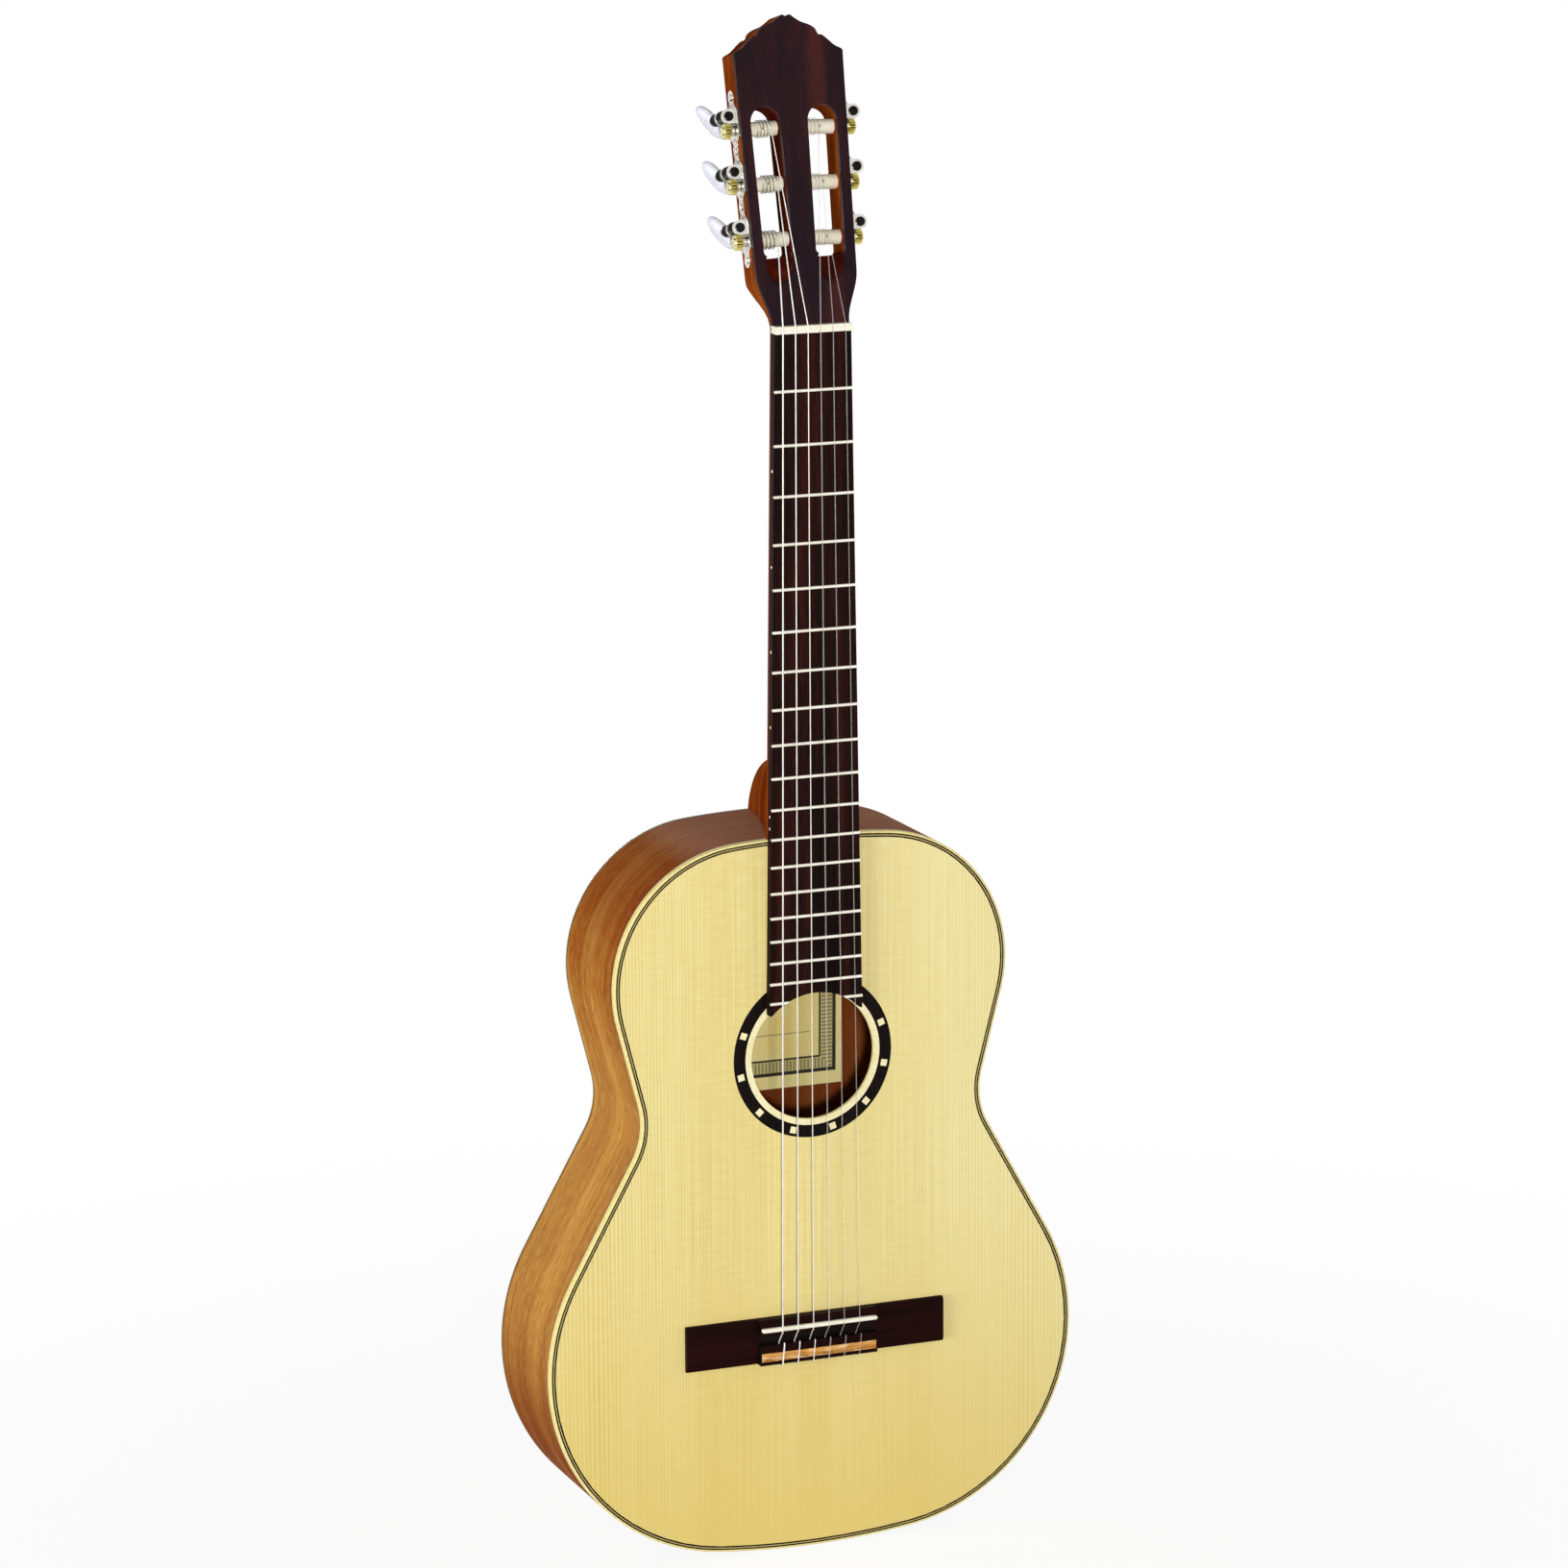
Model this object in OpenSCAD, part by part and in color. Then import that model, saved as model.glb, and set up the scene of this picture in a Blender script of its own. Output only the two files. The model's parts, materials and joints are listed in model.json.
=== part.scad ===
// Classical guitar, standing upright with its front towards -Y and its bass side on -X.
// The origin is on the centre line, in the soundboard's front plane, where a wall hanger holds the head.

/* [Scale and fretboard] */
// Length of the open strings from nut to saddle
scale_length = 650; // [630:1:660]
// Height of the hanger line above the fretboard's upper end
hanger_rise = 20; // [15:1:30]
// Width of the nut, and of the fretboard beside it
nut_width = 52; // [49:0.5:54]
// Length of the nut along the neck
nut_length = 5; // [4:0.5:7]
// Height of the nut above the fretboard
nut_rise = 2.1; // [1.9:0.1:3]
// Width of the fretboard at the twelfth fret
join_width = 61; // [58:0.5:64]
// Thickness of the fretboard
fretboard_t = 6.5; // [5.5:0.1:7.5]
// Length of the fretboard past its last fret
fretboard_tail = 8; // [6:0.5:10]
// Distance from the sound hole to the fretboard's curved end
board_clear = 0.4; // [0.2:0.1:1.5]
// Width of the fret wire
fret_width = 2; // [1.8:0.1:2.6]
// Height of the fret wire above the fretboard
fret_crown = 0.95; // [0.7:0.05:1]
// Depth of the fret tang in its slot
tang_depth = 1.6; // [1:0.1:2.5]
// Thickness of the fret tang
tang_width = 0.6; // [0.4:0.1:0.8]

/* [Neck] */
// Depth of the neck behind the fretboard at the nut
neck_depth_nut = 15; // [13:0.5:17]
// Depth of the neck behind the fretboard at the heel
neck_depth_heel = 17.5; // [15:0.5:20]
// Length of the heel along the neck, from the body
heel_reach = 45; // [35:1:60]
// Width of the heel at its cap
heel_cap_width = 18; // [16:1:28]
// Distance from the back's plane to the heel cap
heel_cap_inset = 1; // [0.5:0.5:4]
// Width of the tenon that enters the neck block
tenon_width = 18; // [14:1:20]
// Length of the tenon inside the ribs
tenon_length = 16; // [10:1:22]
// Distance of the tenon behind the soundboard's front
tenon_front = 10; // [8:1:20]
// Depth of the tenon from front to back
tenon_depth = 58; // [40:1:62]

/* [Head] */
// Angle by which the head leans back
head_tilt = 12; // [10:0.5:15]
// Length of the head from the nut to its tip
head_length = 194.5; // [188:0.5:205]
// Width of the head at the lower end of its straight sides
head_low_width = 68; // [66:0.5:70]
// Distance from the nut to the lower end of the straight sides
head_low_rise = 32; // [28:1:36]
// Width of the head at the upper end of its straight sides
head_top_width = 73.6; // [72:0.2:77]
// Distance from the nut to the upper end of the straight sides
head_top_rise = 169; // [164:1:172]
// Thickness of the head behind its facing
head_t = 18; // [16.5:0.5:20]
// Thickness of the dark facing on the head
headplate_t = 3; // [2:0.25:4]
// Width of each string slot in the head
slot_width = 20.2; // [19:0.2:21]
// Thickness of the cheek outside each slot
cheek_t = 6.5; // [6:0.25:7.5]
// Distance from the nut to the slot's lower end at the back
slot_low = 43; // [40:1:45]
// Distance from the nut to the slot's upper end
slot_top = 137; // [134:1:142]
// Distance from the nut to the lower end of the slot's ramp at the front
ramp_low = 24; // [22:1:27]
// Corner radius of the slot's lower end
slot_corner = 3; // [2:0.5:5]
// Length over which the neck's round back runs out on the head
round_length = 38; // [30:1:42]

/* [Tuners] */
// Diameter of the string rollers
roller_d = 9.5; // [9:0.1:10]
// Distance from the nut to the lowest roller
roller_first = 54; // [53:0.5:56]
// Distance between rollers
roller_step = 35; // [34:0.5:36]
// Depth of the roller axes behind the facing
roller_depth = 7.5; // [7:0.25:9]
// Depth of the roller's seat in the middle of the head
roller_seat = 5; // [3:0.5:6]
// Diameter of the roller's steel core
core_d = 4; // [3.6:0.2:4.6]
// Radial clearance of the turning shafts
running_gap = 0.05; // [0.03:0.01:0.09]
// Thickness of the tuner plates
plate_t = 1.2; // [1:0.1:1.6]
// Width of the tuner plates at the worms
plate_width = 15; // [13.6:0.2:16]
// Distance from the plate's end screws to the outer tuners
plate_overhang = 12; // [11:0.5:14]
// Number of teeth on each gear
gear_teeth = 14; // [12:1:15]
// Gear module, pitch diameter over teeth
gear_module = 0.68; // [0.64:0.01:0.7]
// Face width of the gears
gear_face = 4; // [3:0.25:4.5]
// Distance from the head's side to the middle of the gears
gear_offset = 6.2; // [6.1:0.1:7]
// Pitch radius of the worms
worm_r = 3.9; // [3.8:0.05:4.1]
// Number of turns of the worm thread
worm_turns = 3.5; // [3:0.25:3.75]
// Thickness of the worm thread and of the gear teeth at the pitch line
tooth_t = 0.72; // [0.6:0.01:0.74]
// Diameter of the worm shaft in its lugs
shaft_d = 6; // [5.4:0.1:6.1]
// Thickness of the lugs that carry the worm
lug_t = 1.8; // [1.4:0.1:2.2]
// Free space between the two lugs of a worm
lug_span = 9.2; // [8.8:0.1:9.6]
// Length of the tuner buttons across the shaft
button_length = 26; // [18:0.5:28]
// Width of the tuner buttons along the shaft
button_width = 17; // [14:0.5:19]
// Thickness of the tuner buttons
button_t = 9; // [6.5:0.25:10]
// Length of the black ferrule between lug and button
ferrule_length = 11; // [8:0.5:14]
// Turn of the buttons about their shafts at rest
button_turn = 52; // [0:1:90]

/* [Body] */
// Length of the body
body_length = 480; // [465:1:500]
// Width of the upper bout
upper_bout = 273; // [262:1:285]
// Distance from the top of the body to the upper bout's widest line
upper_bout_drop = 92.5; // [86:0.5:100]
// Radius of the shoulder arc
shoulder_r = 607; // [450:1:800]
// Width of the waist
waist = 236.4; // [226:0.2:244]
// Distance from the top of the body to the waist
waist_drop = 181; // [174:1:190]
// Radius of the waist arc
waist_r = 49; // [35:1:60]
// Width of the lower bout
lower_bout = 367.2; // [350:0.2:380]
// Distance from the tail to the lower bout's widest line
lower_bout_rise = 134.9; // [126:0.1:146]
// Radius of the tail arc
tail_r = 568; // [450:1:800]
// Depth of the body at the neck
neck_end_depth = 90; // [84:0.5:96]
// Depth of the body at the tail
tail_end_depth = 98; // [92:0.5:106]
// Thickness of the soundboard
top_t = 2.6; // [2.2:0.1:3.4]
// Thickness of the back
back_t = 2.6; // [2.2:0.1:3.4]
// Thickness of the ribs
rib_t = 2.2; // [1.8:0.1:3]
// Width of the binding strips
binding_width = 1.4; // [1:0.1:1.7]
// Height of the front binding on the ribs
binding_height = 5.5; // [4:0.25:7]
// Height of the back binding on the ribs
back_binding_height = 3.4; // [2.6:0.1:5]
// Width of the purfling beside the front binding
purfling_width = 2.6; // [1:0.1:3]
// Depth of the purfling in the soundboard
purfling_t = 1.4; // [0.8:0.1:1.8]

/* [Sound hole] */
// Diameter of the sound hole
hole_d = 85.3; // [82:0.1:90]
// Distance from the top of the body to the middle of the sound hole
hole_drop = 146.2; // [144:0.1:152]
// Width of the pale inner ring of the rosette
inner_ring_width = 4.2; // [3:0.1:5]
// Width of the dark ring of the rosette
dark_ring_width = 8.2; // [7:0.1:10]
// Depth of the rosette in the soundboard
rosette_t = 1; // [0.6:0.1:1.6]
// Side of the square rosette blocks
block_size = 4.4; // [3.5:0.1:5.5]
// Angle between rosette blocks
block_step = 31.3; // [26:0.1:33]
// Number of rosette blocks
block_count = 8; // [4:2:8]
// Width of the paper label
label_width = 114; // [100:1:130]
// Height of the paper label
label_height = 84; // [60:1:90]
// Distance from the middle of the sound hole down to the label's lower edge
label_drop = 46.3; // [40:0.1:52]

/* [Bridge] */
// Length of the bridge across the soundboard
bridge_span = 181; // [170:1:195]
// Length of the raised middle of the bridge
bridge_block = 82.4; // [78:0.2:90]
// Width of the bridge along the strings
bridge_width = 30.2; // [29:0.2:34]
// Distance from the saddle to the bridge's upper edge
bridge_ahead = 6.2; // [5:0.1:8]
// Height of the bridge's wings
wing_height = 4; // [3:0.1:4.4]
// Height of the bridge's middle
block_height = 9; // [8.4:0.1:10]
// Width of the tie block along the strings
tie_width = 13.4; // [12:0.1:14.4]
// Height of the string holes in the tie block
tie_hole_rise = 5.8; // [5.6:0.1:6.4]
// Length of the saddle
saddle_length = 81; // [72:0.5:81.5]
// Thickness of the saddle
saddle_width = 2.8; // [2.2:0.1:3.2]
// Height of the saddle above the bridge
saddle_rise = 3; // [2.4:0.1:4]
// Depth of the saddle in the bridge
saddle_seat = 5.5; // [4:0.1:6.5]
// Extra length at the saddle for true pitch
compensation = 0.5; // [0:0.1:2]
// Length of the wood inlay on the tie block
inlay_length = 80.6; // [70:0.2:82]
// Width of the wood inlay on the tie block
inlay_width = 5.6; // [4:0.1:7]
// Thickness of the wood inlay on the tie block
inlay_t = 1; // [0.6:0.1:1.2]

/* [Strings] */
// Diameters of the strings, treble to bass
string_d = [0.71, 0.82, 1.02, 0.74, 0.89, 1.09]; // [0.6:0.01:1.2]
// Distance between the outer strings at the nut
nut_span = 42.7; // [41:0.1:44]
// Distance between the outer strings at the saddle
saddle_span = 54.2; // [52:0.1:60]
// Loops of each treble string on its roller
treble_loops = 3; // [2:1:4]
// Loops of each bass string on its roller
bass_loops = 4; // [2:1:4]
// Free space between loops on a roller
loop_gap = 1.5; // [0.45:0.05:1.7]
// Distance from the slot's inner wall to the first loop, treble to bass
wrap_start = [11, 9.5, 9, 5, 4.5, 8]; // [4:0.5:12]
// Clearance of the strings from what they run over
string_gap = 0.3; // [0.25:0.01:0.4]

/* [Inside] */
// Width of the linings
lining_width = 5; // [4:0.5:7]
// Height of the linings
lining_height = 14; // [10:0.5:16]
// Width of the neck block
neck_block_width = 64; // [50:1:80]
// Length of the neck block along the neck
neck_block_length = 24; // [24:1:32]
// Width of the tail block
tail_block_width = 70; // [50:1:90]
// Length of the tail block along the body
tail_block_length = 14; // [10:1:20]
// Number of fan braces under the soundboard
fan_count = 7; // [3:2:7]
// Distance between fan braces at the bridge
fan_step = 27; // [20:1:30]
// Angle between neighbouring fan braces
fan_angle = 2.4; // [0:0.1:4]
// Width of the braces
brace_width = 6; // [4:0.5:9]
// Height of the fan braces
fan_height = 5; // [3:0.5:7]
// Height of the cross bars
bar_height = 13; // [9:0.5:14]
// Distance from the middle of the sound hole to the bars above and below it
bar_offset = 66; // [62:1:72]

/* [Hidden] */
STRINGS = 6;
PER_SIDE = STRINGS / 2;
FRETS = 19;
TUNER_NAMES = ["roller_", "gear_", "worm_", "button_"];
$fn = 48;

far = 2 * body_length;
nut_z = -hanger_rise;
nut_top = nut_z + nut_length;
join = scale_length / 2;
body_z = nut_z - join;
tail_z = body_z - body_length;
hole_z = body_z - hole_drop;
hole_r = hole_d / 2;
rosette_r = hole_r + inner_ring_width + dark_ring_width;
saddle_z = nut_z - scale_length - compensation;
string_y_nut = -fretboard_t - nut_rise;
back_tilt = atan((tail_end_depth - neck_end_depth) / body_length);

// Frets and fretboard
function fret_drop(n) = scale_length * (1 - pow(2, -n / 12));
function board_half(s) = (nut_width + (join_width - nut_width) * s / join) / 2;
board_end = fret_drop(FRETS) + fretboard_tail;

// Body outline: shoulder, upper bout, waist, lower bout and tail as arcs with straight tangents at the waist
arc_step = 6;
function bout_r(half, reach, end_r) =
    (2 * reach * end_r - half * half - reach * reach) / (2 * (end_r - half));
upper_r = bout_r(upper_bout / 2, upper_bout_drop, shoulder_r);
lower_r = bout_r(lower_bout / 2, lower_bout_rise, tail_r);
shoulder_c = [0, body_z - shoulder_r];
upper_c = [upper_bout / 2 - upper_r, body_z - upper_bout_drop];
lower_c = [lower_bout / 2 - lower_r, tail_z + lower_bout_rise];
tail_c = [0, tail_z + tail_r];
waist_point = [waist / 2, body_z - waist_drop];
// Largest waist radius that still leaves a straight tangent to a bout
waist_share = 0.98;
function waist_limit(c, r) =
    let (a = waist_point - c)
    waist_share * (a * a - r * r) / (2 * (r - a[0]));
waist_fit = min(waist_r, waist_limit(upper_c, upper_r), waist_limit(lower_c, lower_r));
waist_c = waist_point + [waist_fit, 0];
function heading(v) = atan2(v[1], v[0]);
shoulder_end = heading(upper_c - shoulder_c);
upper_end = heading(waist_c - upper_c) + acos((upper_r + waist_fit) / norm(waist_c - upper_c));
waist_end = heading(lower_c - waist_c) + 360 - acos((lower_r + waist_fit) / norm(lower_c - waist_c));
tail_start = heading(lower_c - tail_c);
function arc(c, r, from, to) =
    let (n = max(3, ceil(abs(to - from) / arc_step)))
    [for (i = [0:n]) let (t = from + (to - from) * i / n) c + r * [cos(t), sin(t)]];
function tail_of(list) = [for (i = [1:len(list) - 1]) list[i]];
function half_outline(inset) = concat(
    arc(shoulder_c, shoulder_r - inset, 90, shoulder_end),
    tail_of(arc(upper_c, upper_r - inset, shoulder_end, upper_end)),
    arc(waist_c, waist_fit + inset, upper_end + 180, waist_end),
    arc(lower_c, lower_r - inset, waist_end - 180, tail_start),
    tail_of(arc(tail_c, tail_r - inset, tail_start, -90))
);
function outline(inset) =
    let (h = half_outline(inset))
    concat(h, [for (i = [len(h) - 2:-1:1]) [-h[i][0], h[i][1]]]);
function backwards(list) = [for (i = [len(list) - 1:-1:0]) list[i]];

// Head: along the leaning face from the nut, with a frame on each straight side
side_taper = atan((head_top_width - head_low_width) / 2 / (head_top_rise - head_low_rise));
side_x = head_low_width / 2 - head_low_rise * tan(side_taper);
flare_steps = 8;
crest_drop = head_length - head_top_rise;
function ease(t) = t * t * (3 - 2 * t);
// Scrolled crest as shares of the half width and of the height above the straight sides
crest = [[0.99, 0.1], [0.86, 0.2], [0.75, 0.34], [0.64, 0.47], [0.57, 0.49], [0.52, 0.63], [0.42, 0.73],
    [0.27, 0.81], [0.15, 0.92], [0.07, 1], [0, 0.95]];
crest_smoothing = 3;
function crest_points() = [
    [head_top_width / 2, head_top_rise],
    for (p = crest) [p[0] * head_top_width / 2, head_top_rise + p[1] * crest_drop]
];
function head_half(low) = concat(
    [[nut_width / 2, low]],
    [for (i = [0:flare_steps]) let (t = i / flare_steps)
        [nut_width / 2 + (head_low_width - nut_width) / 2 * ease(t), head_low_rise * t]],
    smooth(crest_points(), crest_smoothing)
);
function head_outline(low) =
    let (h = head_half(low))
    concat(h, [for (i = [len(h) - 2:-1:0]) [-h[i][0], h[i][1]]]);
function from_side(side, p) = [
    side * (side_x + p[0] * cos(side_taper) + p[2] * sin(side_taper)),
    p[1],
    p[2] * cos(side_taper) - p[0] * sin(side_taper)
];
function from_head(p) = [
    p[0],
    p[1] * cos(head_tilt) + p[2] * sin(head_tilt),
    nut_top + p[2] * cos(head_tilt) - p[1] * sin(head_tilt)
];
slot_inner = -cheek_t - slot_width;
seat_end = slot_inner - roller_seat;

// Tuners: strings 1 and 6 use the lowest rollers, 3 and 4 the highest
function side_of(k) = k <= PER_SIDE ? 1 : -1;
function roller_rise(k) = roller_first + roller_step * (k <= PER_SIDE ? k - 1 : STRINGS - k);
roller_r = roller_d / 2;
gear_r = gear_module * gear_teeth / 2;
addendum = gear_module * 0.9;
dedendum = gear_module * 1.25;
flank = tan(20);
root_gap = 0.3;
worm_pitch = PI * gear_module;
thread_steps = 18;
mesh_gap = 0.05;
worm_rise = gear_r + worm_r + mesh_gap;
end_gap = 0.3;
gear_inner = gear_offset - gear_face / 2;
gear_outer = gear_offset + gear_face / 2;
front_lug = roller_depth - lug_span / 2 - lug_t;
back_lug = roller_depth + lug_span / 2;
button_start = back_lug + lug_t + end_gap + ferrule_length;
lug_r = worm_r + 0.75;
ferrule_r = shaft_d / 2 + 0.9;
screw_d = 2.4;
screw_length = 5;
screw_head_d = 4.4;
screw_head_t = 1;
gear_screw_d = 1.8;
gear_screw_head_d = core_d + 1.4;
gear_screw_head_t = 1.3;
drive_width = 0.6;
plate_low = roller_first - plate_overhang;
plate_high = roller_first + (PER_SIDE - 1) * roller_step + worm_rise + plate_overhang;
screw_rises = [
    plate_low,
    roller_first + roller_step / 2 + worm_rise / 2,
    roller_first + 1.5 * roller_step + worm_rise / 2,
    plate_high
];

// Bridge
bridge_top = saddle_z + bridge_ahead;
bridge_low = bridge_top - bridge_width;
tie_front = bridge_low + tie_width;
ledge_width = 2.4;
saddle_ledge = saddle_z - saddle_width / 2 - ledge_width;
channel_step = 0.4;
channel_rise = wing_height + channel_step;
saddle_top = block_height + saddle_rise;
inlay_inset = 2.5;
inlay_low = bridge_low + inlay_inset;
edge_round = 2;

// Neck sections, flat at the front and rounded behind
ring_steps = 12;
shaft_power = 1;
head_power = 0.5;
heel_power = 0.64;
tilt_length = 30;
tilt_steps = 3;
heel_tip = neck_end_depth - heel_cap_inset;
heel_root = 8;
heel_rings = 11;
heel_start = 5;
heel_taper = 1.5;
heel_curve = 2.6;
heel_end_power = 0.32;
heel_end_share = 1.012;
fillet_length = 40;
fillet_fade = 8;
function rounded_half(w, depth, power) = [for (i = [0:ring_steps]) let (t = 180 * i / ring_steps)
    [-w * sign(cos(t)) * pow(abs(cos(t)), power), depth * pow(abs(sin(t)), power)]];
function shaft_ring(z, tilt, w, depth, power) =
    [for (p = rounded_half(w, depth, power)) [p[0], p[1] * cos(tilt), z - p[1] * sin(tilt)]];
round_steps = 8;
round_gap = 0.3;
round_growth = 8;
function flare_half(rise) =
    nut_width / 2 + (head_low_width - nut_width) / 2 * ease(max(0, min(1, rise / head_low_rise)));
function envelope_ring(rise, w, depth, power) =
    [for (p = rounded_half(w, depth, power)) [p[0], p[1], rise]];
function shaft_depth(s) = neck_depth_nut + (neck_depth_heel - neck_depth_nut) * s / join;
function heel_half(y) =
    heel_cap_width / 2 + (join_width - heel_cap_width) / 2 * pow(1 - y / heel_tip, heel_taper);
function heel_length(y) =
    heel_reach * pow(1 - pow(y / heel_tip / heel_end_share, heel_curve), heel_end_power)
    + fillet_length * exp(-y / fillet_fade);

// Loft through rings with the same number of points
function flat(list) = [for (ring = list) for (p = ring) p];
function loft_faces(m, n) = concat(
    [for (i = [0:m - 2]) for (j = [0:n - 1]) let (a = i * n + j, b = i * n + (j + 1) % n) each
        [[a, b, b + n], [a, b + n, a + n]]],
    [for (j = [1:n - 2]) [0, j + 1, j]],
    [for (j = [1:n - 2]) let (e = (m - 1) * n) [e, e + j, e + j + 1]]
);
module loft(rings) {
    polyhedron(points = flat(rings), faces = loft_faces(len(rings), len(rings[0])));
}

// Strings: one unbroken tube each, from the loop on the tie block to the winding on the roller
tube_sides = 6;
loop_rings = 24;
function unit(v) = v / norm(v);
function tube_ring(path, i, r) =
    let (t = unit(path[min(i + 1, len(path) - 1)] - path[max(i - 1, 0)]))
    let (u = unit([1, 0, 0] - t[0] * t))
    let (v = cross(t, u))
    [for (j = [0:tube_sides - 1]) let (a = 360 * j / tube_sides) path[i] + r * (cos(a) * u + sin(a) * v)];
function curve_point(a, b, c, d, t) =
    0.5 * (2 * b + (c - a) * t + (2 * a - 5 * b + 4 * c - d) * t * t + (3 * b - a - 3 * c + d) * t * t * t);
function smooth(list, n) = concat(
    [for (i = [0:len(list) - 2]) for (j = [0:n - 1])
        curve_point(list[max(i - 1, 0)], list[i], list[i + 1], list[min(i + 2, len(list) - 1)], j / n)],
    [list[len(list) - 1]]
);
function nut_x(k) = (PER_SIDE + 0.5 - k) * nut_span / (STRINGS - 1);
function saddle_x(k) = (PER_SIDE + 0.5 - k) * saddle_span / (STRINGS - 1);
// Loop over the tie block, through its hole and up to the saddle; the loose end leans to the treble side
tie_lean = 2.8;
corner_r = 0.9;
function tie_route(k) =
    let (x = saddle_x(k), r = string_d[k - 1] / 2, gap = r + string_gap)
    let (over = -block_height - gap - 0.1, hole = -tie_hole_rise)
    let (front = tie_front + gap, behind = bridge_low - gap - string_gap)
    [
        [x + tie_lean, -channel_rise - gap - 0.2, front + 2],
        [x + tie_lean, hole - corner_r, front + 0.5],
        [x + 0.9 * tie_lean, over + corner_r, front],
        [x + 0.8 * tie_lean, over, tie_front - corner_r],
        [x + 0.6 * tie_lean, over, bridge_low + tie_width / 2],
        [x + 0.4 * tie_lean, over, bridge_low + corner_r],
        [x + 0.3 * tie_lean, over + corner_r, behind],
        [x + 0.2 * tie_lean, hole - 1.5 * corner_r, behind - string_gap],
        [x, hole, behind + 0.2],
        [x, hole, bridge_low + 1.5 * corner_r],
        [x, hole, tie_front - corner_r],
        [x, hole - 0.1, tie_front + corner_r / 2],
        [x, (hole - saddle_top) / 2 - gap, (tie_front + saddle_z) / 2 + 0.4],
        [x, -saddle_top - gap + corner_r / 2, saddle_z - saddle_width / 2 - corner_r / 2],
        [x, -saddle_top - gap, saddle_z]
    ];
// Winding on the roller, from the point where the string touches it
function winding(k) =
    let (d = string_d[k - 1], side = side_of(k), rise = roller_rise(k))
    let (r = roller_r + string_gap + d / 2, turns = side > 0 ? treble_loops : bass_loops)
    let (from = [string_y_nut * cos(head_tilt) - roller_depth, string_y_nut * sin(head_tilt) - rise])
    let (first = heading([-from[0], from[1]]) + acos(r / norm(from)))
    [for (i = [0:turns * loop_rings])
        let (t = first + 360 * i / loop_rings)
        let (x = slot_inner + wrap_start[k - 1] - side * (d + loop_gap) * i / loop_rings)
        from_head(from_side(side, [x, roller_depth - r * cos(t), rise + r * sin(t)]))];
function string_path(k) = concat(
    smooth(tie_route(k), 2),
    [[nut_x(k), string_y_nut, nut_z], [nut_x(k), string_y_nut, nut_top - 0.5]],
    winding(k)
);
// Least gap of a string to itself, between points more than half a loop apart
function least_gap(path, d) = min([for (i = [0:len(path) - 1 - loop_rings / 2])
    min([for (j = [i + loop_rings / 2:len(path) - 1]) norm(path[i] - path[j])])]) - d;

// Frames and solids shared by several pieces
module slab(front, back) {
    translate([0, back, 0]) rotate([90, 0, 0]) linear_extrude(back - front) children();
}
module along_x(length) {
    translate([-length / 2, 0, 0]) rotate([90, 0, 90]) linear_extrude(length) children();
}
module edge_ring(outer, inner) {
    difference() {
        polygon(outline(outer));
        polygon(outline(inner));
    }
}
// Layer of the sloping back, between two depths inside its outer face
module back_layer(from, to) {
    translate([0, neck_end_depth, body_z]) rotate([back_tilt, 0, 0])
        translate([-far / 2, -to, -far]) cube([far, to - from, 1.5 * far]);
}
module inside_back(from, to, inset) {
    intersection() {
        slab(0, far / 4) polygon(outline(inset));
        back_layer(from, to);
    }
}
module on_head() {
    translate([0, 0, nut_top]) rotate([-head_tilt, 0, 0]) children();
}
module side_frame(side) {
    mirror([side < 0 ? 1 : 0, 0, 0]) translate([side_x, 0, 0]) rotate([0, side_taper, 0]) children();
}
module on_side(side) {
    on_head() side_frame(side) children();
}
// Cylinder along the outward direction of a head side
module out_cylinder(r, from, to, rise) {
    translate([from, roller_depth, rise]) rotate([0, 90, 0]) cylinder(r = r, h = to - from);
}
// Cylinder along the worm's direction
module worm_cylinder(r, from, to, rise) {
    translate([gear_offset, from, rise]) rotate([-90, 0, 0]) cylinder(r = r, h = to - from);
}

// Body
module sound_hole(clear = 0) {
    slab(-far / 8, far / 8) translate([0, hole_z]) circle(hole_r + clear, $fn = 96);
}
module rosette_flat(inner, outer) {
    slab(0, rosette_t) translate([0, hole_z]) difference() {
        circle(outer, $fn = 96);
        circle(inner, $fn = 96);
    }
}
module soundboard() {
    color("#ecd58f") difference() {
        slab(0, top_t) polygon(outline(binding_width));
        slab(-1, purfling_t) edge_ring(binding_width - 1, binding_width + purfling_width);
        sound_hole();
        slab(-1, rosette_t) translate([0, hole_z]) circle(rosette_r, $fn = 96);
    }
}
module back() {
    color("#a5612f") inside_back(0, back_t, binding_width);
}
// Edge of the body along the back, reaching out of it by a margin
module back_edge(margin) {
    difference() {
        inside_back(-margin, back_binding_height, -margin);
        slab(0, far / 4) polygon(outline(binding_width));
    }
}
module rib(side) {
    color("#b4713a") difference() {
        mirror([side < 0 ? 1 : 0, 0, 0]) slab(top_t, far / 4)
            polygon(concat(half_outline(0), backwards(half_outline(rib_t))));
        slab(0, binding_height) edge_ring(-1, binding_width);
        back_layer(-far / 4, back_t);
        back_edge(1);
        tenon(far / 8);
    }
}
module binding_front() {
    color("#e9dcae") slab(0, binding_height) edge_ring(0, binding_width);
}
module purfling_front() {
    color("#2b2017") slab(0, purfling_t) edge_ring(binding_width, binding_width + purfling_width);
}
module binding_back() {
    color("#e9dcae") back_edge(0);
}
module rosette_squares() {
    ring_mid = hole_r + inner_ring_width + dark_ring_width / 2;
    slab(0, rosette_t) for (i = [0:block_count - 1])
        translate([0, hole_z]) rotate(-90 + (i - (block_count - 1) / 2) * block_step)
            translate([ring_mid, 0]) square(block_size, center = true);
}
module rosette_ring() {
    color("#1d1512") difference() {
        rosette_flat(hole_r + inner_ring_width, rosette_r);
        rosette_squares();
    }
}
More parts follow.
